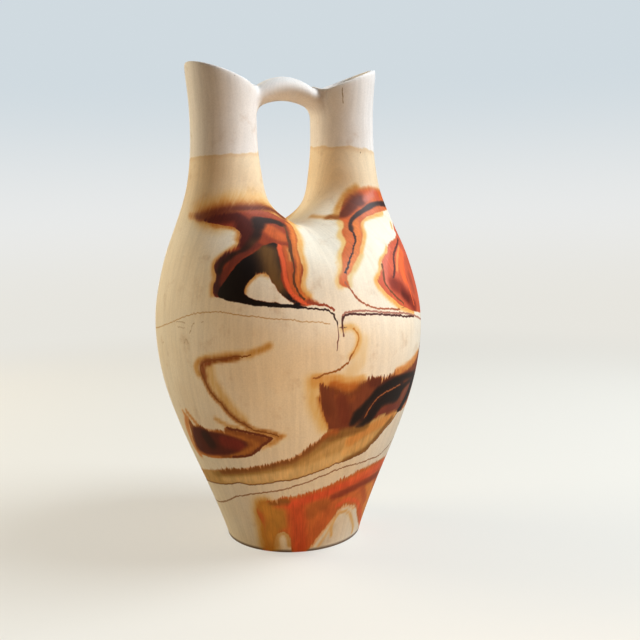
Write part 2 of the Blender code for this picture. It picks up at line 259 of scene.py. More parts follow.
LEFT_FLAME = path(
    -32, 162.5, -26.5, 163, -18, 164.5, -6, 165, 6.5, 165.5, 19.5, 166, 33.5, 166, 44, 165.5, 49.5, 164,
    49.5, 162, 50.5, 160.5, 43.5, 158.5, 33, 156, 21.5, 152.5, 13.5, 149.5, 9.5, 146.5, 7.5, 144,
    7, 142, 7, 139.5, 6, 137, 5.5, 134.5, 5, 132.5, 6, 130.5, 7.5, 128.5, 9.5, 127, 12, 125, 9, 125,
    7, 124.5, 4.5, 124, 0.5, 124, -2, 124.5, -6, 124.5, -9.5, 125, -12.5, 125, -15.5, 125.5,
    -19.5, 126.5, -24, 127, -27, 128, -30, 128.5, -31.5, 129.5, -32, 131.5, -32, 134, -31.5, 135.5,
    -31.5, 137.5, -32.5, 139.5, -33.5, 141, -33, 143, -31.5, 144.5, -28.5, 146.5, -25.5, 148,
    -22.5, 149, -17.5, 151, -14.5, 153, -11, 155, -9.5, 156.5, -9.5, 158, -11.5, 159, -16, 159.5,
    -23.5, 160.5, -29.5, 161,
)
LEFT_FLAME_EYE = path(
    -11.5, 139, -13.5, 138.5, -15, 137, -16, 136, -17.5, 134, -18, 132, -18, 130.5, -16.5, 129,
    -14.5, 128, -12.5, 127.5, -10.5, 127, -8, 126.5, -5, 126.5, -3, 125.5, 0.5, 125, 3, 125, 5.5, 124,
    8, 124, 6, 124.5, 3, 125.5, 0.5, 127, -2, 129, -4, 131, -5.5, 133.5, -7, 135, -7.5, 136.5,
    -9, 138.5,
)
LEFT_FLAME_CORE = path(
    -6, 150, -1, 151, 3, 151.5, 4.5, 151, 0.5, 148.5, -2.5, 144, -3, 140, -3, 136, -1.5, 132.5,
    0.5, 129.5, 2.5, 127, 5.5, 125, 3, 123.5, -2, 124, -6, 124, -11.5, 124.5, -15.5, 125, -19.5, 126,
    -23.5, 126.5, -28, 127.5, -29.5, 130, -29, 132.5, -27, 135.5, -25.5, 138.5, -23.5, 141.5,
    -20.5, 144, -16.5, 146, -11, 148,
)
FLAME_HOOK = path(
    13, 162, 19.5, 163, 24.5, 163, 29, 162.5, 34.5, 162, 38, 161, 38.5, 160, 34.5, 158.5, 29.5, 158.5,
    29.5, 159.5, 26, 160, 20.5, 160, 14, 158.5, 6, 156.5, -0.5, 154, -6.5, 152, -11.5, 150,
    -15.5, 148.5, -19.5, 147.5, -23.5, 146, -26, 144.5, -28.5, 143, -29.5, 141, -29.5, 138.5,
    -31.5, 139, -31, 141.5, -29.5, 144, -26.5, 146, -24, 147.5, -20, 148.5, -16, 150, -12, 152, -7, 154,
    -2.5, 155.5, 2.5, 157.5, 8, 160,
)
LEFT_FLAME_EDGE = path(
    35, 159, 28.5, 157, 20.5, 154.5, 12.5, 151, 6.5, 147.5, 3.5, 143, 3, 140, 2.5, 135.5, 3.5, 132,
    5, 129, 7, 127,
)
LEFT_FLAME_STRIPE = path(
    5, 150.5, 1, 147.5, -1, 143.5, -1.5, 140, -1, 136, 0, 133, 1.5, 130, 4, 127.5, 7, 125.5, 9.5, 124,
)
FLAME_TAIL = path(-10.5, 126, -7.5, 125.5, -4, 125, -1, 125, 2, 124.5, 5.5, 124)
FLAME_TAIL_END = path(
    5.5, 124, 8.5, 123.5, 11.5, 123, 14.5, 122.5, 16, 122, 17, 121, 18, 120.5, 18, 119, 18.5, 118,
    19, 117, 19, 115.5,
)
FLAME_RED_TAIL = path(7, 126.5, 9.5, 125.5, 12, 125, 14.5, 124.5, 16.5, 123.5, 18, 122.5, 18.5, 121.5)
RIGHT_HOOK = path(
    4.5, 163.5, -0.5, 167, -0.5, 170.5, 6, 172.5, 13.5, 174, 23.5, 175, 34.5, 175.5, 47, 175.5,
    61.5, 175, 96, 173, 106, 169.5, 101, 166, 69, 164.5, 59, 164, 50, 163.5, 43.5, 162.5, 37.5, 162,
    34.5, 160.5, 33, 159.5, 34, 157.5, 36, 156, 38.5, 154, 39, 152, 39, 150, 38, 148, 37.5, 145.5,
    36, 144, 34.5, 142.5, 32.5, 141, 30.5, 139, 28.5, 137.5, 27, 136.5, 26, 134.5, 26.5, 133,
    26.5, 131.5, 25.5, 131.5, 24, 132, 22.5, 133, 22.5, 134.5, 23, 136, 24.5, 137.5, 26, 140, 27, 142.5,
    27, 145, 27.5, 147, 28, 149, 28, 150.5, 26.5, 152, 23.5, 153.5, 20.5, 155.5, 18.5, 158, 14, 160,
    9, 161,
)
HOOK_CAP_LINE = path(
    69.5, 169, 53, 169, 41, 168.5, 32.5, 167.5, 27, 165.5, 22, 164, 20, 162, 20, 160.5, 22, 158.5,
    25, 156.5, 28.5, 155, 29.5, 155.5, 27.5, 157, 24.5, 158.5, 24, 160, 25, 161, 28, 162.5, 32.5, 164,
    38.5, 165, 46, 166.5, 55.5, 167, 65.5, 166.5, 100, 166.5, 104, 168.5,
)
HOOK_LINE = path(
    22, 160, 24, 158, 26.5, 156, 29.5, 155, 32.5, 153, 34, 151.5, 34, 150, 33.5, 148.5, 33.5, 146.5,
    32.5, 145, 31.5, 143.5, 30, 141.5, 29, 140, 27.5, 139, 26, 137,
)
RIGHT_FLAME = path(
    92, 160, 80, 155, 81.5, 153, 76.5, 151, 71, 150, 67.5, 149.5, 63.5, 148.5, 61.5, 147.5, 59.5, 145.5,
    58, 144.5, 55.5, 143.5, 53.5, 142.5, 52, 141.5, 50, 139.5, 48.5, 137.5, 46.5, 135.5, 44, 134,
    43, 133, 43.5, 131.5, 44.5, 130, 45.5, 128.5, 47, 126.5, 49, 125, 51, 123, 53.5, 121, 57, 119.5,
    61, 118, 65.5, 116.5, 87, 112.5, 95, 113.5, 102, 117.5, 105.5, 123, 103.5, 129, 98.5, 134, 97, 140,
    99.5, 147, 101, 153, 98, 158,
)
LEFT_LEAF = path(
    -54.5, 68, -51.5, 65.5, -47, 66.5, -43.5, 65.5, -39.5, 65.5, -35, 66, -31.5, 66, -30, 68.5, -27, 68,
    -24, 67.5, -21, 67, -18, 66.5, -15.5, 66, -12.5, 65.5, -10, 65, -8.5, 64, -11, 62.5, -13.5, 60.5,
    -15.5, 58, -18, 56, -20.5, 54.5, -24, 53.5, -29, 52.5, -35.5, 51.5, -43.5, 50, -51.5, 49.5,
    -58.5, 50, -59.5, 53.5, -58, 58.5, -56.5, 63,
)
LEFT_LEAF_CORE = path(
    -53, 64.5, -47.5, 65.5, -43, 65, -38, 64.5, -32, 64.5, -27, 63.5, -22.5, 62, -21, 60.5, -23.5, 58,
    -28, 55.5, -34.5, 53.5, -42.5, 52, -50.5, 51, -56, 52, -57, 55.5, -55.5, 60,
)
LEAF_RIM = path(
    -30, 68.5, -27, 67.5, -24, 67.5, -21, 67, -18, 66.5, -15.5, 66, -13, 65.5, -10.5, 64.5, -9, 64,
    -11.5, 62, -14, 60, -16, 58, -18.5, 56, -21.5, 54.5, -26, 53.5, -31.5, 52.5,
)
SHIELD = path(
    11.5, 90.5, 13.5, 89.5, 15.5, 88, 18, 86, 20, 84.5, 23, 83, 25.5, 83, 28, 84, 29.5, 86, 31, 88,
    32.5, 89, 35, 89.5, 37, 89.5, 39, 89.5, 41.5, 88.5, 44, 89, 46.5, 89.5, 49.5, 90, 52.5, 90.5,
    56, 90.5, 60, 91, 65, 91.5, 69, 93, 72.5, 94.5, 88, 104.5, 96, 107.5, 104, 108.5, 111, 108,
    118, 106, 110.5, 102.5, 104, 97, 99, 91, 93, 84, 85.5, 75.5, 76, 68.5, 61.5, 67.5, 54.5, 67,
    49, 67.5, 44.5, 67.5, 42, 67, 39, 66, 36, 65, 32.5, 65, 29.5, 65, 26.5, 64.5, 23, 64.5, 20, 65,
    17.5, 66, 16.5, 68, 15, 72, 13.5, 75, 12.5, 78.5, 11.5, 82.5, 11.5, 86,
)
SWOOSH_HIGH = path(
    72.5, 86, 66, 86.5, 58, 87.5, 52, 87.5, 48, 87.5, 44, 86.5, 40.5, 85.5, 37.5, 84, 35.5, 81.5,
    33, 79, 30.5, 76.5, 28, 74.5, 27, 71.5, 26.5, 68.5, 28.5, 68, 30.5, 69.5, 32.5, 71.5, 34, 74.5,
    35.5, 77, 37.5, 79, 40, 80.5, 43, 81.5, 46, 82.5, 49.5, 83, 54.5, 84, 60, 84.5, 69.5, 83.5,
)
SWOOSH_LOW = path(
    72, 83.5, 63.5, 83, 57, 82.5, 50.5, 82, 46.5, 81, 43, 80.5, 41, 79, 39, 77.5, 37, 75, 35.5, 73,
    34.5, 70.5, 33, 68.5, 30, 67, 33.5, 66.5, 36, 67.5, 38.5, 68.5, 40, 70.5, 41.5, 72.5, 43.5, 74.5,
    48, 75, 52.5, 74.5, 56, 75.5, 57.5, 78.5, 60.5, 80.5, 67, 82,
)
SWOOSH_EDGE = path(
    82, 84, 72, 83.5, 67.5, 81.5, 66.5, 78.5, 64.5, 75, 62, 72.5, 60, 70, 58, 68.5, 62, 67.5,
    65.5, 69.5, 69, 71.5, 73, 74, 75, 77, 75, 80.5,
)
BAND = path(
    -110, 31, -92, 33, -75, 36.5, -51.5, 41.5, -43.5, 43.5, -35, 45.5, -28.5, 46.5, -23.5, 47.5,
    -19.5, 48.5, -15.5, 49.5, -12, 50, -9.5, 51, -7, 52, -4.5, 52.5, -2, 53, 0.5, 54, 2.5, 55,
    4.5, 56.5, 6.5, 58, 8.5, 59.5, 10, 61, 12, 62, 13.5, 64, 15.5, 65.5, 17, 67.5, 20, 68, 24, 68,
    27.5, 68.5, 32, 68.5, 35, 69, 38.5, 70.5, 42, 71.5, 47.5, 71, 55, 70, 61.5, 69, 55, 63.5, 50, 60.5,
    46.5, 57, 43, 55, 40, 52, 35.5, 51, 30.5, 50, 26.5, 49, 22, 48.5, 18.5, 47, 15, 46, 11.5, 45, 8, 44,
    4, 43, 0, 42, -3.5, 41.5, -8, 41, -12.5, 40, -18.5, 39, -25, 38, -31, 38.5, -37, 37, -47, 35,
    -75, 31, -92, 28.5, -108, 28,
)
FOOT_FIRE = path(
    -24.5, 22.5, -23, 26, -19.5, 28, -15.5, 29.5, -11, 30, -7.5, 31.5, -3, 32, 1.5, 32.5, 6.5, 33.5,
    11, 34.5, 15.5, 35.5, 20.5, 36.5, 25, 38, 28.5, 39, 34, 40, 39, 41.5, 43.5, 42, 51, 42.5, 60, 42.5,
    72.5, 42, 76, 49.5, 86, 51.5, 96, 51, 106, 47.5, 115, 43.5, 123, 41, 116, 37, 109, 32, 103.5, 24,
    99.5, 14, 96.5, 5, 94, -3, -19, -3, -21, 4, -22, 7.5, -22, 13.5, -23, 18,
)
FOOT_EYE_WIDE = path(
    13, -3, 15.5, 5, 18.5, 8, 21.5, 11, 24.5, 13.5, 27.5, 16.5, 30, 20, 32.5, 22, 35.5, 23.5, 40, 23,
    45.5, 21.5, 50, 18.5, 55.5, 13, 63, 7.5, 74.5, 1, 66, -3,
)
FOOT_EYE_SMALL = path(-18, -3, -16, 5, -14.5, 8.5, -12, 11, -8, 12, -5, 11, -3, 8, -2.5, 3.5, -3, -3)
HOOK_TAIL = path(
    24.5, 134.5, 25.5, 133, 26.5, 131, 27.5, 129.5, 28.5, 127.5, 30, 125.5, 31.5, 124.5, 33, 123.5,
    35, 122.5, 37.5, 121.5, 40, 121, 43.5, 120.5, 47, 120, 52.5, 119,
)
BELLY_LINE_RIGHT = path(
    20.5, 113.5, 21, 116, 21.5, 119, 22.5, 120.5, 24, 121, 26, 121, 29.5, 121, 34.5, 120.5, 39.5, 119.5,
    45.5, 118.5, 52, 117.5, 60, 116, 82, 110, 100, 112, 122, 117, 146, 115,
)
BELLY_LINE_UNDER = path(
    21, 114.5, 21, 117, 21.5, 118.5, 22.5, 119.5, 24, 120, 26, 120, 29.5, 119.5, 34.5, 119, 39.5, 118.5,
    45, 117.5, 51.5, 116.5, 54.5, 115.5, 60, 115, 65, 114,
)
DRIP_LEFT = path(19, 115.5, 19, 113, 19, 110.5, 18.5, 108, 18.5, 106, 18, 104.5)
DRIP_RIGHT = path(21, 114.5, 21, 112.5, 21, 110)
LOOP_ARM = path(
    -14.5, 104, -17.5, 103, -20, 103, -22.5, 102.5, -25, 101.5, -28, 101, -30.5, 100.5, -33.5, 100,
    -35.5, 99, -37, 97.5, -37.5, 95.5, -37, 93.5,
)
LOOP_LEG = path(
    -37, 93.5, -36, 90.5, -35, 88, -34, 85.5, -32.5, 83.5, -31, 81.5, -29.5, 80, -28, 77.5, -26.5, 75.5,
    -24.5, 73.5, -22.5, 72, -20.5, 71, -18.5, 69.5, -16.5, 68, -14, 67.5, -11, 67, -8.5, 66.5,
    -6.5, 65.5, -5.5, 65,
)
CURL = path(
    24.5, 102.5, 23.5, 100.5, 23, 99, 21.5, 98, 20, 96.5, 18, 95.5, 16, 95, 14, 94.5, 12, 94, 10.5, 93,
    8.5, 92.5,
)
SECOND_LINE = path(
    -110, 20, -85, 20, -65, 21, -47.5, 25.5, -38, 29.5, -32, 31, -26.5, 32.5, -19.5, 34, -13.5, 35,
    -7.5, 36, -1.5, 37.5, 3, 39, 6.5, 39.5, 10.5, 41, 14.5, 42.5, 19, 43.5, 22.5, 45, 24.5, 45, 28, 46,
    32, 46, 36, 46, 41, 46, 46.5, 46.5, 52, 46, 58.5, 47, 80, 53, 100, 56, 125, 52, 150, 45,
)
BAND_EDGE = BAND[-2 : BAND.index((61.5, 69)) : -1] + ((60, 68),)
CURL_TOP = path(25, 114, 26.5, 112.5, 27.5, 110, 27, 107.5, 26, 105, 24.5, 102.5)
SCUFF_RING = path(-51, 116, -48.5, 116.5, -46, 116.5, -44.5, 115.5)
SCUFF_LOW = path(-50.5, 114, -47.5, 114, -45, 114)
SCUFF_STROKE = path(-39.5, 117, -40.5, 115.5, -42.5, 111.5)
SCUFF_TICK = path(-36, 117, -34.5, 118)
SCUFF_FORK = path(-46, 106.5, -44, 109, -43, 106.5)
SCUFF_SPECK = path(-63, 106, -64.5, 103.5)
CRACK = path(-1, 225, -1.5, 221.5, -1, 216.5)
PIT = path(27, 193, 32.5, 193.5)
BACK_BAND = path(
    101, 71.5, 114, 71.5, 130, 66, 150, 58, 170, 52, 190, 46, 210, 40, 230, 36, 250, 31.5, 250, 28,
    230, 30, 210, 33, 190, 37, 170, 43, 150, 48, 130, 56, 114, 66.5,
)
BELLY_LINE = path(
    -112, 113, -92, 109, -72, 110.5, -56, 115, -47, 118.5, -39, 121, -32.5, 122, -25.5, 122, -19, 121,
    -13, 120.5, -7, 119.5, 0.5, 119, 6, 118, 11, 117.5, 16, 116.5,
)
BELLY_LINE_BACK = path(146, 115, 170, 110, 196, 112, 222, 116, 248, 113)
SECOND_LINE_BACK = path(150, 45, 175, 39, 200, 32, 225, 26, 250, 20)

FLAME_WING = path(-27.5, 163, -13.5, 163.5, -1.5, 164, 3.5, 162, -2, 158, -8.5, 154.5, -15, 151.5)
FLAME_CROWN = path(21, 165.5, 34, 165.5, 41.5, 164, 44.5, 162)
FLAME_ARM = path(-25.5, 146.5, -30, 144, -31.5, 141.5, -31.5, 138, -31, 134.5, -30, 131)
FLAME_INNER_ARM = path(
    -6, 151.5, -13.5, 149, -19.5, 146.5, -23.5, 144, -26.5, 141, -27.5, 138, -28, 135,
)
FLAME_ORANGE = path(15.5, 158, 14.5, 156, 12.5, 154)
FLAME_ORANGE_LOW = path(-3.5, 151.5, 2.5, 152.5, 5, 151)
FLAME_FLANK = path(7, 149.5, 3, 146, 1, 141.5, 1.5, 137.5, 2, 133, 4, 129.5)
FLAME_FLANK_AMBER = path(7, 148.5, 3, 144)
FLAME_OUTER = path(
    44, 159.5, 31, 156, 19, 152.5, 10, 148, 7, 145, 5.5, 141.5, 4.5, 137.5, 4, 134, 5.5, 130.5, 7, 128,
)
FLAME_CORE_OLIVE = path(-4.5, 148.5, -7, 144.5, -6.5, 139, -4, 133.5)
FLAME_BLOOM = path(-26.5, 164, -10, 166, 9, 167, 29.5, 167, 49, 167, 63.5, 165.5, 63, 164, 57, 161.5)
FLAME_WISP = path(-36.5, 163.5, -28, 163.5, -20, 163.5)
FLAME_WISP_END = path(-46.5, 164, -31.5, 163.5)
FLAME_RIGHT_GLOW = path(
    71, 162, 49, 159.5, 35.5, 156.5, 22.5, 152.5, 12.5, 148.5, 9, 145, 7.5, 141.5, 6.5, 137.5,
    5.5, 134.5, 6, 131, 8, 128.5,
)
FLAME_LEFT_GLOW = path(
    -18, 150.5, -25, 148, -31, 145, -33.5, 142.5, -33, 139.5, -32, 136.5, -32.5, 133.5, -32, 130,
)
FLAME_BEND_GLOW = path(-25, 160, -16, 159.5, -10, 158, -10.5, 155.5, -15.5, 152.5)
FLAME_EYE_GLOW = path(-18, 131, -18, 133, -16.5, 135.5, -15, 137, -13, 138.5, -11, 139, -8.5, 138)
HOOK_CAP_DARK = path(9.5, 163.5, 11.5, 166, 14.5, 168.5, 22.5, 169.5)
HOOK_CAP_LEFT = path(0, 168, 5.5, 171, 15, 173)
HOOK_CAP_PINK_HIGHLIGHT = path(31.5, 170.5, 44.5, 172.5, 51, 174)
HOOK_CAP_RED = path(55, 173, 56.5, 170)
HOOK_CAP_UNDER = path(67.5, 165.5, 51.5, 165, 39.5, 163.5, 32.5, 162)
HOOK_STEM_LEFT = path(
    20, 158, 26, 154.5, 29.5, 151.5, 30.5, 148, 29.5, 144.5, 28, 141.5, 26, 138, 24, 134.5,
)
HOOK_STEM_RIGHT = path(27.5, 159.5, 33, 155.5, 36.5, 152, 36, 148.5, 35, 145, 32, 141.5, 28.5, 139)
HOOK_SMEAR = path(-4, 162, 3, 162, 11.5, 161.5)
HOOK_SMEAR_END = path(-28, 162.5, -14, 162, -0.5, 162)
HOOK_BLOOM = path(2, 163.5, -3, 166.5, -2.5, 170.5, 6, 173.5, 17, 175.5)
HOOK_LEFT_GLOW = path(
    11.5, 160, 18.5, 157, 21.5, 153.5, 26, 151.5, 27.5, 149, 26.5, 146.5, 26, 143, 25.5, 140, 23.5, 137,
    22, 134.5, 22.5, 132.5,
)
HOOK_RIGHT_GLOW = path(
    61, 163, 46.5, 162, 36.5, 160.5, 34.5, 159, 36, 156.5, 40, 154, 40.5, 151, 39.5, 148, 38, 145,
    35.5, 142.5, 32.5, 140.5, 30, 138.5,
)
HOOK_OLIVE_GLOW = path(39, 144.5, 35.5, 141.5, 32, 139, 29, 137, 27.5, 135, 27, 132.5)
RIGHT_FLAME_PINK = path(62, 147, 58, 144, 54, 141, 51.5, 137.5, 49, 134, 49, 130.5)
RIGHT_FLAME_LINE = path(81, 150.5, 73, 147.5, 67.5, 145.5, 63.5, 143, 61, 140, 58, 136.5, 54, 133)
RIGHT_FLAME_BRIGHT = path(74.5, 146.5, 68, 143, 64, 140, 60.5, 136.5)
RIGHT_FLAME_ORANGE = path(75.5, 144, 69, 140, 65, 135.5, 64.5, 132)
RIGHT_FLAME_STREAK = path(70.5, 139.5, 67, 133.5, 66, 130, 66.5, 124, 67, 119)
RIGHT_FLAME_DARK = path(53.5, 130.5, 57.5, 128.5, 60, 125.5, 64, 122, 67, 119)
RIGHT_FLAME_DARKEST = path(58.5, 125.5, 61.5, 123)
RIGHT_FLAME_FLANK = path(73, 133, 72, 129.5, 71.5, 126)
RIGHT_FLAME_EDGE = path(51, 140.5, 49, 136.5, 47.5, 132.5, 48.5, 129, 50.5, 126.5, 53, 124, 57, 121)
RIGHT_FLAME_UNDER_GLOW = path(
    45, 135, 42.5, 133, 43, 130.5, 44.5, 128.5, 46.5, 126, 50, 123, 53, 120.5, 58.5, 118.5, 64, 116.5,
)
RIGHT_FLAME_LEFT_GLOW = path(60, 147.5, 56.5, 144.5, 51, 142, 48, 138.5, 46, 136)
RIGHT_FLAME_SPOT = path(77, 158, 76.5, 156)
LOOP_START = path(-7.5, 108, -10, 106.5, -12.5, 105.5, -14.5, 104.5)
LOOP_ARM_GLOW = path(-15.5, 104, -21, 103.5, -27, 102.5, -33.5, 101)
LOOP_CORNER = path(-33, 99.5, -36, 98, -36.5, 95.5, -36, 92.5)
LOOP_OUTSIDE = path(-34.5, 101, -38, 99.5, -40, 96.5, -39, 93)
LOOP_INSIDE = path(-33, 97.5, -33, 94, -32, 90, -30, 86, -27, 81, -24, 76.5, -21, 73)
LOOP_END = path(-18, 69, -13, 67, -8, 66, -5.5, 65)
LEAF_TIP = path(-3.5, 65.5, -5.5, 64.5, -7, 62.5, -10, 61)
CURL_WASH = path(21, 114, 23.5, 114.5, 25.5, 114, 27, 112, 27.5, 109, 27, 106.5, 26, 104, 24, 101.5)
CURL_FILL = path(29, 108, 28.5, 103, 27.5, 98, 24, 94)
LEAF_RED = path(-32.5, 60.5, -26, 59.5)
LEAF_BLACK = path(-44.5, 61.5, -42.5, 58)
LEAF_AMBER = path(-41.5, 65, -33, 65, -25.5, 64, -19, 62.5, -16, 61, -19.5, 58, -24, 55.5, -31, 53)
LEAF_UNDER = path(-59, 49.5, -50, 49.5, -39.5, 51)
LEAF_FLICK_A = path(-58, 71.5, -56.5, 69.5, -54.5, 67)
LEAF_FLICK_B = path(-54, 72.5, -51, 69.5, -48, 66.5)
LEAF_FEATHER = path(-34.5, 72, -31.5, 70.5, -27.5, 69, -24, 68.5)
LEAF_EDGE_GLOW = path(-23, 68, -15.5, 67, -9.5, 65.5, -7, 64.5, -10.5, 61.5, -14, 59)
LEAF_LEFT_GLOW = path(-56, 68.5, -60, 62.5, -61, 57, -61, 52.5, -58, 49.5)
SHIELD_TOP_WASH = path(10, 91.5, 14, 91.5, 19, 90.5, 24, 89, 29, 89)
SHIELD_TOP_AMBER = path(17, 88.5, 22, 86.5, 26.5, 86.5)
SHIELD_NOTCH = path(16, 86, 18.5, 84.5, 21.5, 83, 25, 82.5, 28.5, 84.5, 30, 86.5)
SHIELD_LEFT_WASH = path(8.5, 91, 9, 86.5, 9.5, 81.5, 11, 76.5, 13, 72.5, 14.5, 69)
SHIELD_LEFT_EDGE = path(11, 83.5, 12, 79.5, 13.5, 75.5, 15.5, 71, 17, 68)
SHIELD_LIGHT = path(19.5, 83, 23, 82, 25.5, 81.5)
SHIELD_STREAK = path(21, 81.5, 22.5, 76.5, 24, 71)
SHIELD_BROWN = path(13, 86, 14, 81, 16, 76)
SHIELD_TRIANGLE = path(43, 71.5, 48.5, 72.5, 57, 71.5)
SHIELD_ROSE = path(59.5, 75, 62, 78.5, 67, 81)
SHIELD_FAR_EDGE = path(67.5, 68, 74.5, 70, 74, 75, 75, 79)
SHIELD_TOP_RED = path(35, 87.5, 39.5, 87, 45.5, 87.5, 51.5, 88)
SHIELD_SPIKES = path(49.5, 90, 55, 90.5, 61, 91.5, 67, 93, 71.5, 94.5)
SHIELD_AMBER_LINE = path(
    55.5, 83, 50.5, 82.5, 46, 81.5, 43, 81, 40, 80, 38, 78, 36.5, 76, 35, 73.5, 34, 71, 33, 69.5,
)
BAND_CREAM = path(-41.5, 39.5, -30, 41, -16.5, 42.5, -4, 44.5, 6.5, 46.5, 16.5, 50, 27, 52.5)
BAND_OLIVE = path(-50, 40.5, -29, 44.5, -16, 47, -6, 49.5, 3, 52.5, 9.5, 56.5, 15.5, 60.5, 22.5, 63)
BAND_RIGHT_OLIVE = path(17.5, 63, 23, 64.5, 29, 65, 35.5, 66.5)
BAND_TOP_DARK = path(
    -42, 43, -25.5, 46.5, -18, 48, -11, 50, -6, 51.5, -1, 52.5, 2.5, 54.5, 6.5, 57, 10, 60, 13.5, 63,
)
BAND_CORNER = path(14.5, 64, 17, 65.5, 20, 65.5)
BAND_AMBER = path(28.5, 59.5, 33.5, 62, 39, 64, 46.5, 65.5, 54.5, 67)
BAND_LOW_RIGHT = path(26.5, 54, 35, 56.5, 40.5, 59.5)
FOOT_AMBER = path(-19, 26, -15.5, 23.5, -14.5, 17.5, -17, 11, -19.5, 3.5)
FOOT_AMBER_RIGHT = path(-9, 23, -9, 16)
FOOT_TOP_BROWN = path(-13, 28.5, -8, 29.5, -4, 29.5)
FOOT_RED_DOWN = path(2, 26, 3, 17.5, 3.5, 10, 4.5, 3.5)
FOOT_RED = path(
    -2, 28, 5, 29.5, 12.5, 31.5, 19.5, 32.5, 27, 34.5, 35.5, 36, 44.5, 37, 56.5, 38, 70.5, 39,
)
FOOT_RED_RIGHT = path(36, 37.5, 45, 39, 57.5, 39.5, 74, 40)
FOOT_DARK_STREAK = path(25.5, 30, 32, 31, 38.5, 32, 46, 33, 55.5, 33, 67, 33)
FOOT_OLIVE = path(11, 22, 15.5, 25.5, 21, 25.5)
FOOT_RUST = path(10.5, 6.5, 16, 12, 22.5, 18.5, 26.5, 24)
FOOT_EYE_RIM = path(30, 24, 34.5, 25.5, 39.5, 25.5, 46.5, 23, 54, 18, 64.5, 10.5, 72.5, 3.5)
FOOT_ORANGE = path(56.5, 28, 66.5, 20.5, 70, 17, 73, 7)
FOOT_RIGHT_RUST = path(49.5, 29, 60.5, 20)
FOOT_LEFT_GLOW = path(-18.5, 27, -20, 21.5, -20, 12.5, -20.5, 3.5)
FOOT_ARCH = path(30, 6.5, 28.5, 12, 30.5, 17, 34, 19.5, 39, 19, 44, 16.5, 49.5, 11.5, 55, 6.5, 56, 3)
FOOT_ARCH_LEFT = path(19.5, 2, 24.5, 7, 28, 12.5, 30.5, 17.5)
FOOT_EYE_EDGE = path(14, 2.5, 20, 8.5, 26, 14, 31, 19.5, 35, 22, 41.5, 21.5, 47, 19)
FOOT_EYE_WASH = path(-14.5, 4, -13, 9, -8, 11, -4.5, 9, -3.5, 4)
RIGHT_FLAME_FAR = path(91, 118, 97, 120.5, 101, 124)
RIGHT_FLAME_FAR_GLOW = path(96, 154, 95, 145, 93, 136, 93, 127)
SHIELD_FAR = path(83, 92, 90, 98, 98, 102.5, 107, 105)
SHIELD_FAR_RED = path(84, 80, 92, 89, 99, 98)
FOOT_FAR = path(82, 46, 94, 45.5, 106, 42.5, 115, 40.5)
FOOT_FAR_AMBER = path(90, 2, 92, 13, 96, 25)
BAND_EDGE_OLIVE = path(27.5, 49.5, 35, 51.5, 41, 54, 45.5, 58, 50, 62.5, 54.5, 65.5)
LOOP_ARM_BROWN = path(-20, 102.5, -25, 101.5, -30.5, 100.5, -34.5, 99.5)

# Screen colours of the pigments, from 0 to 255
BLACK = (22, 12, 9)
SOOT = (46, 24, 17)
MAROON = (78, 26, 18)
DARK_RED = (112, 46, 32)
CHESTNUT = (122, 60, 32)
RUST = (150, 60, 32)
RED_ORANGE = (204, 94, 42)
SCUFF = (196, 174, 142)
ORANGE = (224, 122, 50)
GOLD = (232, 164, 84)
DARK_AMBER = (182, 104, 40)
AMBER = (208, 150, 80)
PALE_AMBER = (230, 184, 112)
BROWN = (146, 84, 38)
OLIVE = (140, 98, 46)
TAN = (202, 160, 98)
PLUM = (78, 44, 40)
ROSE_BROWN = (172, 118, 100)

# A mark of pigment. Its layer says what it is:
#   pool   closed area of thick pigment       eye    clean clay left inside a pool
#   tone   colour inside a pool               glow   bright streak inside a pool
#   core   closed dark area inside a pool     shade  colour inside a core
#   wash   thin pigment bled into the clay
#   hair_a, hair_b, hair_c   thin lines; lines that run side by side belong to different sets
# width is half of a streak's, fade how slowly its edge goes, ragged how far a pool feathers upwards and
# halo how far amber bled out of it, all in mm. side is the half of the vase, by the sign of x, that a mark
# keeps to above the shoulder.
Mark = namedtuple(
    "Mark", "layer path side width fade colour strength ragged halo",
    defaults=(0, 0.0, 1.0, srgb(*RUST), 1.0, 0.3, 0.0),
)
STROKE = ("width", "fade", "colour", "strength")
ROW_AFTER_PATH = {
    "pool": ("fade", "colour", "ragged", "halo"), "eye": (), "core": ("fade", "colour"), "glow": ("width",),
    "tone": STROKE, "shade": STROKE, "wash": STROKE,
    **{layer: ("width", "colour") for layer in HAIR_LAYERS},
}


def marks(side=0, **layers):
    """Marks from rows of values by layer: each row is a path and then what its layer needs."""
    found = []
    for layer, rows in layers.items():
        for drawn, *values in rows:
            said = dict(zip(ROW_AFTER_PATH[layer], values))
            said["colour"] = srgb(*said.get("colour", RUST))
            found.append(Mark(layer, drawn, side, **said))
    return tuple(found)


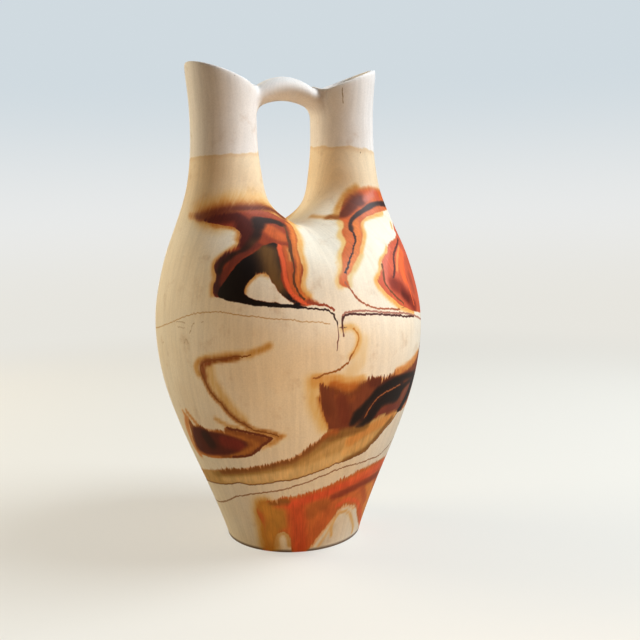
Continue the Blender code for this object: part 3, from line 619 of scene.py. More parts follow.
LEFT_FLAME_MARKS = marks(
    side=-1,
    pool=[(LEFT_FLAME, 0.7, RUST, 0.7, 2.2)],
    eye=[(LEFT_FLAME_EYE,)],
    tone=[
        (FLAME_CROWN, 0.8, 2.0, (166, 78, 52), 0.8),
        (FLAME_WING, 2.0, 3.4, MAROON, 0.95),
        (FLAME_ARM, 1.3, 1.6, (68, 27, 25), 0.95),
        (FLAME_INNER_ARM, 0.9, 1.5, DARK_RED, 0.95),
        (FLAME_OUTER, 0.6, 1.2, ORANGE, 0.95),
        (FLAME_FLANK, 0.9, 1.2, RED_ORANGE, 0.9),
        (FLAME_FLANK_AMBER, 0.5, 1.0, AMBER, 0.7),
        (FLAME_ORANGE, 2.4, 3.2, RED_ORANGE, 0.95),
        (FLAME_ORANGE_LOW, 0.6, 1.4, RUST, 0.9),
    ],
    glow=[(LEFT_FLAME_STRIPE, 0.85)],
    core=[(LEFT_FLAME_CORE, 0.8, BLACK), (FLAME_HOOK, 2.0, SOOT)],
    shade=[(FLAME_CORE_OLIVE, 0.4, 10.0, (116, 80, 38), 0.95)],
    hair_a=[(LEFT_FLAME_EDGE, 0.38, (98, 58, 30)), (FLAME_RED_TAIL, 0.45, (152, 66, 40))],
    hair_c=[(FLAME_TAIL, 0.6, BLACK), (FLAME_TAIL_END, 0.3, SOOT)],
    wash=[
        (FLAME_BLOOM, 1.6, 17.0, (206, 142, 66), 0.8),
        (FLAME_BLOOM, 0.4, 7.5, (140, 70, 26), 0.95),
        (FLAME_BLOOM, 0.2, 4.0, (98, 40, 22), 0.85),
        (FLAME_WISP_END, 0.2, 4.0, DARK_AMBER, 0.6),
        (FLAME_WISP, 0.6, 4.2, (116, 54, 24), 0.95),
        (FLAME_RIGHT_GLOW, 0.8, 3.0, GOLD, 0.85),
        (FLAME_LEFT_GLOW, 0.6, 2.7, AMBER, 0.75),
        (FLAME_BEND_GLOW, 0.5, 3.8, DARK_AMBER, 0.8),
        (FLAME_EYE_GLOW, 0.6, 1.9, AMBER, 0.9),
    ],
)
RIGHT_HOOK_MARKS = marks(
    side=1,
    pool=[(RIGHT_HOOK, 1.4, RED_ORANGE, 0.4, 1.6)],
    tone=[
        (HOOK_CAP_LEFT, 1.0, 2.2, (150, 80, 34), 0.9),
        (HOOK_CAP_DARK, 1.8, 3.4, (100, 42, 22), 0.95),
        # Pink on the cap's red pigment, lightened as a painted highlight
        (HOOK_CAP_PINK_HIGHLIGHT, 0.8, 2.6, (206, 118, 100), 0.9),
        (HOOK_CAP_RED, 0.8, 2.4, (204, 88, 56), 0.9),
        (HOOK_CAP_UNDER, 0.8, 1.4, (210, 110, 66), 0.9),
        (HOOK_STEM_LEFT, 0.8, 1.4, (206, 106, 52), 0.9),
        (HOOK_STEM_RIGHT, 0.9, 1.5, ORANGE, 0.9),
    ],
    core=[(HOOK_CAP_LINE, 1.5, (58, 36, 30))],
    hair_a=[(HOOK_LINE, 0.42, (60, 34, 24))],
    wash=[
        (HOOK_SMEAR_END, 0.1, 3.8, DARK_AMBER, 0.4),
        (HOOK_SMEAR, 0.8, 3.5, (140, 76, 30), 0.9),
        (HOOK_BLOOM, 0.6, 4.3, (198, 132, 60), 0.8),
        (HOOK_LEFT_GLOW, 0.7, 3.0, PALE_AMBER, 0.85),
        (HOOK_RIGHT_GLOW, 0.6, 2.4, GOLD, 0.85),
        (HOOK_OLIVE_GLOW, 0.6, 2.7, (214, 184, 124), 0.75),
    ],
)
RIGHT_FLAME_MARKS = marks(
    side=1,
    pool=[(RIGHT_FLAME, 0.5, (204, 92, 62), 0.6, 0.9)],
    tone=[
        (RIGHT_FLAME_PINK, 0.9, 1.2, (216, 112, 88), 0.9),
        (RIGHT_FLAME_ORANGE, 1.4, 1.8, (236, 106, 56), 0.95),
        (RIGHT_FLAME_BRIGHT, 0.4, 1.0, (244, 148, 84), 0.9),
        (RIGHT_FLAME_FLANK, 1.0, 2.4, (164, 76, 54), 0.8),
        (RIGHT_FLAME_DARK, 1.6, 4.0, (128, 46, 32), 0.85),
        (RIGHT_FLAME_DARKEST, 0.4, 3.0, MAROON, 0.6),
        (RIGHT_FLAME_FAR, 1.0, 4.0, (116, 42, 30), 0.9),
        (RIGHT_FLAME_FAR_GLOW, 0.6, 2.6, (240, 124, 62), 0.9),
    ],
    hair_a=[(RIGHT_FLAME_EDGE, 0.42, (122, 74, 44))],
    hair_b=[(RIGHT_FLAME_LINE, 0.6, (98, 50, 44)), (RIGHT_FLAME_STREAK, 0.36, (236, 100, 52))],
    wash=[
        (RIGHT_FLAME_UNDER_GLOW, 0.7, 3.0, GOLD, 0.9),
        (RIGHT_FLAME_LEFT_GLOW, 0.3, 1.8, GOLD, 0.75),
        (RIGHT_FLAME_SPOT, 0.6, 1.8, GOLD, 0.75),
    ],
)
LEAF_MARKS = marks(
    pool=[(LEFT_LEAF, 0.9, BROWN, 1.2, 1.4)],
    tone=[(LEAF_AMBER, 0.5, 1.3, (180, 112, 50), 0.9), (LEAF_UNDER, 0.6, 1.8, (208, 130, 64), 0.9)],
    core=[(LEFT_LEAF_CORE, 2.4, (88, 38, 26))],
    shade=[(LEAF_RED, 2.0, 3.6, (126, 46, 32), 0.9), (LEAF_BLACK, 1.5, 3.4, (54, 30, 22), 0.9)],
    hair_b=[(LEAF_RIM, 0.55, (112, 56, 28))],
    wash=[
        (LEAF_FLICK_A, 0.5, 1.6, (204, 134, 72), 0.85),
        (LEAF_FLICK_B, 0.5, 1.6, (204, 134, 72), 0.85),
        (LEAF_LEFT_GLOW, 1.2, 3.2, (210, 138, 78), 0.9),
        (LEAF_FEATHER, 0.3, 2.6, (192, 134, 68), 0.6),
        (LEAF_EDGE_GLOW, 0.3, 2.4, AMBER, 0.5),
    ],
)
SHIELD_MARKS = marks(
    pool=[(SHIELD, 1.0, CHESTNUT, 2.2, 1.6)],
    tone=[
        (SHIELD_BROWN, 1.2, 3.0, (112, 54, 26), 0.85),
        (SHIELD_LIGHT, 0.8, 2.8, (138, 70, 30), 0.85),
        (SHIELD_STREAK, 1.0, 3.4, (108, 46, 24), 0.8),
        (SHIELD_TOP_RED, 1.2, 2.4, (96, 42, 22), 0.9),
        (SHIELD_AMBER_LINE, 1.2, 1.6, (58, 30, 20), 0.9),
        (SHIELD_TRIANGLE, 1.0, 2.0, (118, 54, 38), 0.9),
        (SHIELD_ROSE, 0.7, 1.5, (132, 76, 58), 0.9),
        (SHIELD_FAR_EDGE, 0.9, 1.6, (208, 136, 90), 0.95),
        (SHIELD_SPIKES, 1.0, 1.8, (214, 134, 68), 0.95),
        (SHIELD_FAR, 0.8, 3.2, (44, 24, 18), 0.9),
        (SHIELD_FAR_RED, 0.6, 3.0, (150, 72, 36), 0.8),
    ],
    core=[
        (SWOOSH_HIGH, 3.0, (30, 18, 12)),
        (SWOOSH_LOW, 3.0, (30, 18, 12)),
        (SWOOSH_EDGE, 0.9, BLACK),
    ],
    hair_a=[(SHIELD_AMBER_LINE, 0.3, (150, 86, 46))],
    wash=[
        (SHIELD_LEFT_WASH, 0.6, 8.0, (224, 184, 112), 0.7),
        (SHIELD_LEFT_EDGE, 0.4, 2.2, (190, 124, 56), 0.85),
        (SHIELD_TOP_WASH, 1.8, 4.1, (218, 164, 92), 0.9),
        (SHIELD_TOP_AMBER, 1.6, 3.2, DARK_AMBER, 0.95),
        (SHIELD_NOTCH, 1.0, 4.6, (118, 60, 26), 0.9),
        (SHIELD_SPIKES, 1.2, 3.0, (214, 138, 74), 0.85),
    ],
)
BAND_MARKS = marks(
    pool=[(BAND, 0.9, TAN, 1.4, 1.0), (BACK_BAND, 0.9, TAN, 1.4, 1.0)],
    tone=[
        (BAND_CREAM, 1.4, 3.0, (226, 190, 130), 0.95),
        (BAND_LOW_RIGHT, 1.0, 2.2, (222, 174, 106), 0.85),
        (BAND_AMBER, 1.6, 2.4, (214, 148, 76), 0.95),
        (BAND_OLIVE, 0.8, 2.6, (166, 126, 66), 0.85),
        (BAND_RIGHT_OLIVE, 1.3, 2.2, OLIVE, 0.95),
        (BAND_EDGE_OLIVE, 0.5, 1.8, (132, 90, 40), 0.9),
        (BAND_TOP_DARK, 0.4, 2.8, (134, 78, 34), 0.85),
        (BAND_CORNER, 0.8, 1.6, (172, 94, 42), 0.9),
    ],
)
FOOT_MARKS = marks(
    pool=[(FOOT_FIRE, 1.2, (208, 110, 50), 1.6, 1.2)],
    eye=[(FOOT_EYE_WIDE,), (FOOT_EYE_SMALL,)],
    tone=[
        (FOOT_AMBER, 2.4, 3.4, (206, 142, 58), 1.0),
        (FOOT_AMBER_RIGHT, 1.5, 2.6, (192, 134, 54), 0.9),
        (FOOT_ORANGE, 3.0, 5.0, (232, 146, 64), 0.95),
        (FOOT_RIGHT_RUST, 1.0, 2.2, (192, 92, 46), 0.85),
        (FOOT_OLIVE, 1.8, 3.0, (178, 98, 42), 0.85),
        (FOOT_RUST, 1.2, 3.4, (206, 104, 48), 0.8),
        (FOOT_RED_DOWN, 1.4, 4.6, (208, 86, 42), 0.9),
        (FOOT_DARK_STREAK, 1.2, 2.0, (144, 62, 34), 0.9),
        (FOOT_RED, 1.0, 3.0, (222, 90, 48), 0.95),
        (FOOT_RED_RIGHT, 1.0, 1.8, (232, 106, 54), 0.9),
        (FOOT_FAR, 1.0, 3.6, (150, 62, 34), 0.85),
        (FOOT_FAR_AMBER, 1.4, 4.4, (216, 144, 60), 0.9),
        (FOOT_TOP_BROWN, 0.8, 1.8, (150, 94, 38), 0.9),
        (FOOT_EYE_RIM, 0.7, 1.3, (228, 102, 54), 0.9),
    ],
    wash=[
        (FOOT_LEFT_GLOW, 1.4, 9.5, (206, 142, 58), 1.0),
        (FOOT_ARCH, 0.35, 1.2, (226, 178, 108), 0.9),
        (FOOT_ARCH_LEFT, 0.3, 1.4, (232, 190, 128), 0.7),
        (FOOT_EYE_EDGE, 0.3, 1.5, (238, 180, 120), 0.75),
        (FOOT_EYE_WASH, 0.5, 2.4, (208, 160, 92), 0.8),
    ],
)
LINE_MARKS = marks(
    hair_a=[
        (LOOP_ARM, 0.24, (132, 74, 32)),
        (LOOP_LEG, 0.26, (132, 80, 38)),
        (BELLY_LINE, 0.14, (196, 158, 108)),
        (BELLY_LINE_BACK, 0.14, (196, 158, 108)),
        (BELLY_LINE_RIGHT, 0.36, ROSE_BROWN),
        (SECOND_LINE, 0.26, (150, 106, 70)),
        (SECOND_LINE_BACK, 0.26, (150, 106, 70)),
    ],
    hair_b=[
        (CURL, 0.34, (152, 90, 42)),
        (CURL_TOP, 0.3, (200, 136, 62)),
        (BELLY_LINE_UNDER, 0.38, PLUM),
        (DRIP_RIGHT, 0.16, (112, 68, 58)),
        (BAND_EDGE, 0.2, (124, 78, 42)),
    ],
    hair_c=[(DRIP_LEFT, 0.16, (112, 68, 58)), (HOOK_TAIL, 0.36, (166, 94, 64))],
    wash=[
        (LOOP_START, 0.3, 3.4, (194, 136, 66), 0.75),
        (LOOP_ARM_GLOW, 0.6, 3.5, (206, 158, 90), 0.7),
        (LOOP_OUTSIDE, 0.3, 3.0, (198, 138, 66), 0.75),
        (LOOP_INSIDE, 0.5, 6.2, (212, 170, 102), 0.75),
        (LOOP_LEG, 0.5, 2.6, (154, 92, 40), 0.9),
        (LOOP_ARM_BROWN, 0.5, 2.6, (140, 78, 30), 0.95),
        (LOOP_CORNER, 1.1, 2.2, (146, 80, 38), 0.92),
        (LOOP_END, 0.4, 2.2, (200, 150, 84), 0.7),
        (LEAF_TIP, 0.3, 2.4, (194, 132, 64), 0.6),
        (CURL_FILL, 1.6, 5.4, (228, 200, 150), 0.55),
        (CURL_WASH, 0.3, 3.6, (222, 172, 98), 0.7),
    ],
)
WEAR_MARKS = marks(
    hair_b=[(SCUFF_LOW, 0.08, SCUFF), (SCUFF_FORK, 0.1, SCUFF)],
    hair_c=[
        (SCUFF_RING, 0.12, SCUFF),
        (SCUFF_STROKE, 0.1, SCUFF),
        (SCUFF_TICK, 0.12, SCUFF),
        (SCUFF_SPECK, 0.3, SCUFF),
    ],
) + marks(side=1, hair_c=[(CRACK, 0.06, (146, 122, 92)), (PIT, 0.4, (112, 82, 54))])


def carried(drawn, shift, stretch=1.0, lift=0.0):
    """Marks drawn again further round the vase, on its other side."""
    return tuple(
        mark._replace(
            path=tuple((shift + stretch * angle, height + lift) for angle, height in mark.path),
            side=-mark.side,
        )
        for mark in drawn
    )


MARKS = (
    LEFT_FLAME_MARKS + RIGHT_HOOK_MARKS + RIGHT_FLAME_MARKS + LEAF_MARKS + SHIELD_MARKS + BAND_MARKS
    + FOOT_MARKS + LINE_MARKS + WEAR_MARKS
    + carried(LEFT_FLAME_MARKS, 180) + carried(RIGHT_HOOK_MARKS, 168) + carried(LEAF_MARKS, 202, 0.9, -2)
    + carried(SHIELD_MARKS, 183, 0.75) + carried(FOOT_MARKS, 152, 0.6, -6)
)


def hermite(start, start_slope, end, end_slope, share):
    """Cubic from start to end, with slopes already scaled to the whole step."""
    s2 = share * share
    s3 = s2 * share
    return (
        (2 * s3 - 3 * s2 + 1) * start
        + (s3 - 2 * s2 + share) * start_slope
        + (3 * s2 - 2 * s3) * end
        + (s3 - s2) * end_slope
    )


def smooth_step(value, low, high):
    share = np.clip((value - low) / (high - low), 0.0, 1.0)
    return share * share * (3 - 2 * share)


def body_half_axes(sizes, height):
    """Half width and half depth of the body's outside at a height up to the shoulder."""
    if height <= sizes.belly_height:
        rise = sizes.belly_height - sizes.foot_edge_height
        share = (height - sizes.foot_edge_height) / rise
        radius = hermite(sizes.foot_radius, sizes.foot_flare * rise, sizes.belly_radius, 0.0, share)
        return radius, radius
    rise = sizes.shoulder_height - sizes.belly_height
    share = (height - sizes.belly_height) / rise
    return tuple(
        hermite(sizes.belly_radius, 0.0, half, -lean * rise, share)
        for half, lean in (
            (sizes.shoulder_half_width, sizes.shoulder_side_lean),
            (sizes.shoulder_half_depth, sizes.shoulder_front_lean),
        )
    )


def spout_radius(sizes, height):
    """Outside radius of a spout, for one height or an array of them."""
    rise = sizes.waist_height - sizes.root_height
    below = hermite(
        sizes.root_radius, -sizes.root_flare * rise, sizes.waist_radius, 0.0,
        np.minimum((height - sizes.root_height) / rise, 1.0),
    )
    share = np.maximum((height - sizes.waist_height) / (sizes.rim_height - sizes.waist_height), 0.0)
    return below + (sizes.rim_radius - sizes.waist_radius) * share * share


def rim_height_at(sizes, angle):
    """Height of the slanted rim at an angle from a spout's outward side, with the hump at the handle."""
    slant = math.tan(sizes.rim_tilt) * sizes.rim_radius * (1 - np.cos(angle))
    from_handle = np.abs((np.asarray(angle) % (2 * math.pi)) - math.pi)
    hump = np.cos(np.minimum(from_handle / HUMP_REACH, 1.0) * math.pi / 2) ** 2
    return sizes.rim_height - slant + sizes.lip_hump * hump


def spout_angles():
    """Angles round a spout from its outward side: first the outer arc, then the saddle side."""
    step = 2 * math.pi / SPOUT_SEGMENTS
    outer = BODY_SEGMENTS // 4
    return [step * index for index in range(-outer, SPOUT_SEGMENTS - outer)]


class VesselCage:
    """Quad cage of the whole hollow vessel, whose faces are tagged with the piece they belong to."""

    def __init__(self, sizes):
        self.sizes = sizes
        self.spout_x = sizes.spout_spacing / 2
        self.mesh = bmesh.new()
        self.loose = []
        outer_shoulder = self.wall(self.base(), 0.0, BODY_OUTSIDE)
        inner_shoulder = self.wall(self.floor(), sizes.wall, BODY_INSIDE)
        outer_saddle, inner_saddle = self.saddle(0.0), self.saddle(sizes.wall)
        self.loose += [line[end] for line in (outer_saddle, inner_saddle) for end in (0, -1)]
        for side in (-1, 1):
            outer = self.spout(outer_shoulder, outer_saddle, side, 0.0, 0.0, BODY_OUTSIDE)
            inner = self.spout(
                inner_shoulder, inner_saddle, side, sizes.wall, sizes.lip_thickness, BODY_INSIDE
            )
            lip = self.spout_ring(
                side, sizes.lip_thickness / 2, lambda angle: rim_height_at(sizes, angle)
            )
            self.bridge(outer, lip, side < 0, SPOUT_TAG[side])
            self.bridge(lip, inner, side < 0, SPOUT_TAG[side])
        self.relax()
        self.fair()

    def oval_ring(self, half_width, half_depth, height):
        step = 2 * math.pi / BODY_SEGMENTS
        return [
            self.mesh.verts.new(
                (half_width * math.cos(step * k), half_depth * math.sin(step * k), height)
            )
            for k in range(BODY_SEGMENTS)
        ]

    def body_ring(self, height, inset):
        width, depth = body_half_axes(self.sizes, height)
        return self.oval_ring(width - inset, depth - inset, height)

    def spout_places(self, side, inset, height_at):
        """Places round a spout, whose height goes with the angle from its outward side."""
        places = []
        for angle in spout_angles():
            height = float(height_at(angle))
            radius = float(spout_radius(self.sizes, height)) - inset
            x = side * (self.spout_x + radius * math.cos(angle))
            places.append(Vector((x, radius * math.sin(angle), height)))
        return places

    def spout_ring(self, side, inset, height_at):
        return [self.mesh.verts.new(place) for place in self.spout_places(side, inset, height_at)]

    def bridge(self, lower, upper, flip, tag):
        """Quads between two closed rings of as many points."""
        count = len(lower)
        for k in range(count):
            nxt = (k + 1) % count
            corners = [lower[k], lower[nxt], upper[nxt], upper[k]]
            face = self.mesh.faces.new(corners[::-1] if flip else corners)
            face.material_index = tag

    def base(self):
        """Underside with its recess and foot ring. Returns the foot's outer edge."""
        sizes = self.sizes
        ring_inner = sizes.foot_radius - sizes.foot_ring_width
        recessed = ring_inner - sizes.foot_recess
        outer = sizes.foot_radius - sizes.foot_edge_height / 2
        ground = -sizes.foot_edge_height / 5
        rings = [
            self.oval_ring(recessed, recessed, sizes.foot_recess),
            self.oval_ring(ring_inner, ring_inner, ground),
            self.oval_ring(outer, outer, ground),
            self.body_ring(sizes.foot_edge_height, 0.0),
        ]
        self.mesh.faces.new(rings[0][::-1]).material_index = BODY_OUTSIDE
        for lower, upper in zip(rings, rings[1:]):
            self.bridge(lower, upper, False, BODY_OUTSIDE)
        return rings[-1]

    def floor(self):
        """Inside floor with its fillet. Returns the lowest ring of the inside wall."""
        sizes = self.sizes
        wall_foot = sizes.floor_thickness + sizes.floor_fillet
        radius = body_half_axes(sizes, wall_foot)[0] - sizes.wall - sizes.floor_fillet
        rings = [
            self.oval_ring(radius / 2, radius / 2, sizes.floor_thickness),
            self.oval_ring(radius, radius, sizes.floor_thickness),
            self.body_ring(wall_foot, sizes.wall),
        ]
        self.mesh.faces.new(rings[0]).material_index = BODY_INSIDE
        for lower, upper in zip(rings, rings[1:]):
            self.bridge(lower, upper, True, BODY_INSIDE)
        return rings[-1]

    def wall(self, first, inset, tag):
        """One skin of the body, from its lowest ring to the shoulder."""
        sizes = self.sizes
        low, belly, shoulder = sizes.foot_edge_height, sizes.belly_height, sizes.shoulder_height
        heights = [low + (belly - low) * k / BODY_RING_STEPS for k in range(1, BODY_RING_STEPS)]
        heights += [belly, (belly + shoulder) / 2, shoulder]
        rings = [first] + [self.body_ring(height, inset) for height in heights]
        for lower, upper in zip(rings, rings[1:]):
            self.bridge(lower, upper, tag == BODY_INSIDE, tag)
        return rings[-1]

    def saddle(self, inset):
        """Points of the arch between the spouts, from the front of the shoulder to its back."""
        sizes = self.sizes
        depth = sizes.shoulder_half_depth - inset
        rise = sizes.saddle_height - sizes.shoulder_height - inset
        line = []
        for k in range(SADDLE_POINTS):
            up = SADDLE_START + (math.pi - 2 * SADDLE_START) * k / (SADDLE_POINTS - 1)
            height = sizes.shoulder_height + rise * math.sin(up)
            line.append(self.mesh.verts.new((0.0, -depth * math.cos(up), height)))
        return line

    def spout(self, shoulder, saddle, side, inset, lip_inset, tag):
        """One skin of a spout, from the shoulder to just under the lip. Returns its top ring."""
        sizes = self.sizes
        quarter = BODY_SEGMENTS // 4
        start, way = (0, 1) if side > 0 else (2 * quarter, -1)
        arc = [shoulder[(start + way * k) % BODY_SEGMENTS] for k in range(-quarter, quarter + 1)]
        below = arc + saddle[::-1]
        root = self.spout_places(side, inset, lambda angle: sizes.root_height)
        blend = self.blend(below, root, side)
        rings = [below, blend]
        heights = [sizes.seam_height + (sizes.waist_height - sizes.seam_height) * k / 3 for k in range(4)]
        for height in heights:
            rings.append(self.spout_ring(side, inset, lambda angle, z=height: z))
        drop = sizes.lip_thickness / 2
        rings.append(
            self.spout_ring(
                side, (inset + lip_inset) / 2,
                lambda angle: (sizes.waist_height + rim_height_at(sizes, angle) - drop) / 2,
            )
        )
        rings.append(
            self.spout_ring(side, lip_inset, lambda angle: rim_height_at(sizes, angle) - drop)
        )
        for index, (lower, upper) in enumerate(zip(rings, rings[1:])):
            flip = (tag == BODY_INSIDE) == (side > 0)
            self.bridge(lower, upper, flip, tag if index < 2 else SPOUT_TAG[side])
        side_points = range(BLEND_END_POINTS, BODY_SEGMENTS // 2 + 1 - BLEND_END_POINTS)
        self.loose += [vertex for index, vertex in enumerate(blend) if index not in side_points]
        return rings[-1]

    def blend(self, below, root, side):
        """Ring halfway up the sweep from the shoulder and saddle into a spout's root."""
        sizes = self.sizes
        outer_count = BODY_SEGMENTS // 2 + 1
        up = Vector((0, 0, 1))
        ring = []
        for index, (low, high, angle) in enumerate(zip(below, root, spout_angles())):
            inward = Vector((low.co.x, low.co.y, 0.0)).normalized() * -1
            if index < outer_count:
                reach = (high - low.co).length
                lean = sizes.shoulder_side_lean
                lean += (sizes.shoulder_front_lean - lean) * inward.y * inward.y
                leaving = (inward * lean + up).normalized()
            else:
                reach = abs(high.x - low.co.x)
                leaving = Vector((side, 0, 0))
            away = Vector((side * math.cos(angle), math.sin(angle), 0.0))
            arriving = (up - away * sizes.root_flare).normalized()
            ring.append(
                self.mesh.verts.new(hermite(low.co, leaving * reach, high, arriving * reach, 0.5))
            )
        return ring

    def relax(self):
        """Evens out the points of the sweep that no measurement fixes."""
        for _ in range(RELAXING_ROUNDS):
            means = {}
            for vertex in self.loose:
                ends = [edge.other_vert(vertex).co for edge in vertex.link_edges]
                means[vertex] = sum(ends, Vector()) / len(ends)
            for vertex, mean in means.items():
                vertex.co = vertex.co.lerp(mean, 0.5)

    @staticmethod
    def smoothed_place(vertex):
        """Where a subdivision surface carries a cage vertex that only quads meet at."""
        count = len(vertex.link_edges)
        place = vertex.co * count * count
        for edge in vertex.link_edges:
            place += edge.other_vert(vertex).co * 4
        for loop in vertex.link_loops:
            place += loop.link_loop_next.link_loop_next.vert.co
        return place / (count * (count + 5))

    def fair(self):
        """Moves the cage so that its subdivision surface passes through the points it was drawn with."""
        loose = set(self.loose)
        drawn = {
            vertex: vertex.co.copy()
            for vertex in self.mesh.verts
            if vertex not in loose and all(len(face.verts) == 4 for face in vertex.link_faces)
        }
        for _ in range(FAIRING_ROUNDS):
            steps = {vertex: place - self.smoothed_place(vertex) for vertex, place in drawn.items()}
            for vertex, step in steps.items():
                vertex.co += step

    def surface(self, level):
        """The cage's subdivision surface at a level, as arrays."""
        data = bpy.data.meshes.new("vessel_cage")
        self.mesh.to_mesh(data)
        data.shade_smooth()
        item = bpy.data.objects.new("vessel_cage", data)
        bpy.context.scene.collection.objects.link(item)
        item.modifiers.new("smooth", "SUBSURF").levels = level
        smooth = item.evaluated_get(bpy.context.evaluated_depsgraph_get())
        skin = Skin.of_mesh(smooth.to_mesh())
        smooth.to_mesh_clear()
        bpy.data.objects.remove(item)
        bpy.data.meshes.remove(data)
        return skin


class Skin:
    """Points, their normals, quads and the quads' tags."""

    def __init__(self, points, normals, quads, tags):
        self.points, self.normals, self.quads, self.tags = points, normals, quads, tags

    @classmethod
    def of_mesh(cls, mesh):
        points = np.empty(len(mesh.vertices) * 3, np.float32)
        mesh.vertices.foreach_get("co", points)
        normals = np.empty(len(mesh.vertices) * 3, np.float32)
        mesh.vertex_normals.foreach_get("vector", normals)
        quads = np.empty(len(mesh.loops), np.int32)
        mesh.loops.foreach_get("vertex_index", quads)
        tags = np.empty(len(mesh.polygons), np.int32)
        mesh.polygons.foreach_get("material_index", tags)
        return cls(
            points.reshape(-1, 3).astype(float), normals.reshape(-1, 3).astype(float),
            quads.reshape(-1, 4), tags,
        )

    def tagged(self, tag):
        """The part of the skin with this tag."""
        quads = self.quads[self.tags == tag]
        used, index = np.unique(quads, return_inverse=True)
        quads = index.reshape(-1, 4)
        return Skin(self.points[used], self.normals[used], quads, np.full(len(quads), tag))

    def open_ring(self, side, spout_x, outermost):
        """Points of an open edge round a spout, in order of angle: the outer or the inner one."""
        ends = np.sort(np.concatenate([self.quads[:, [k, (k + 1) % 4]] for k in range(4)]), axis=1)
        pairs, count = np.unique(ends, axis=0, return_counts=True)
        edge = np.unique(pairs[count == 1])
        edge = edge[self.points[edge, 0] * side > 0]
        across = self.points[edge, :2] - (side * spout_x, 0.0)
        far = np.hypot(*across.T)
        middle = (far.min() + far.max()) / 2
        if far.max() - far.min() > far.max() * TWO_RINGS_APART:
            keep = far > middle if outermost else far < middle
            edge, across = edge[keep], across[keep]
        return edge[np.argsort(np.arctan2(across[:, 1], across[:, 0]))]


class ClayPiece:
    """Mesh of one piece, gathered from skins and joint faces."""

    def __init__(self):
        self.points, self.normals, self.faces, self.outside = [], [], [], []
        self.count = 0

    def add(self, points, normals, faces, outside):
        faces = [[int(corner) + self.count for corner in face] for face in faces]
        self.points.append(points)
        self.normals.append(normals)
        self.faces += faces
        self.outside.append(np.full(len(points), outside))
        self.count += len(points)

    def add_skin(self, skin, outside):
        self.add(skin.points, skin.normals, skin.quads.tolist(), outside)

    def add_joint(self, outer, inner, up):
        """Flat ring between two edges round a spout. The outer edge has as many points or a multiple."""
        step = len(outer) // len(inner)
        start = int(np.argmin(np.linalg.norm(outer - inner[0], axis=1)))
        outer = np.roll(outer, -start, axis=0)
        faces = []
        for k in range(len(inner)):
            ends = [(k * step + move) % len(outer) for move in range(step + 1)]
            face = ends + [len(outer) + (k + 1) % len(inner), len(outer) + k]
            faces.append(face if up else face[::-1])
        normals = np.tile((0.0, 0.0, 1.0 if up else -1.0), (len(outer) + len(inner), 1))
        self.add(np.concatenate([outer, inner]), normals, faces, False)

    def build(self, name):
        mesh = bpy.data.meshes.new(name)
        points = np.concatenate(self.points)
        mesh.from_pydata(points.tolist(), [], self.faces)
        mesh.shade_smooth()
        mesh.normals_split_custom_set_from_vertices(np.concatenate(self.normals).tolist())
        item = bpy.data.objects.new(name, mesh)
        bpy.context.scene.collection.objects.link(item)
        return item


def smooth_path(path, closed):
    """A drawn path with a rounded corner at each point."""
    points = np.array(path, float)
    before, after = (np.roll(points, 1, 0), np.roll(points, -1, 0))
    if not closed:
        before[0], after[-1] = points[0], points[-1]
    lean = (after - before) / 2
    ends = range(len(points) if closed else len(points) - 1)
    fine = []
    for k in ends:
        nxt = (k + 1) % len(points)
        for share in (0.0, 1 / 3, 2 / 3):
            fine.append(hermite(points[k], lean[k], points[nxt], lean[nxt], share))
    if not closed:
        fine.append(points[-1])
    return np.array(fine)


# What a point holds where no mark is near it
PLAIN_EDGE, PLAIN_FADE = (0.3, 0.8, 1.0), 0.6
PLAIN_POOL, PLAIN_CORE = srgb(*RUST), srgb(*BLACK)
NO_WASH, NO_HAIR = srgb(*AMBER)[:3] + (0.0,), srgb(*PLUM)[:3] + (-1.0,)

# Shares of a pool's feathering and halo that are left where its edge faces down, and how much softer the
# edge is where it faces up on a spout
RAGGED_BELOW, HALO_BELOW, SOFTER_ABOVE = 0.25, 0.08, 2.0


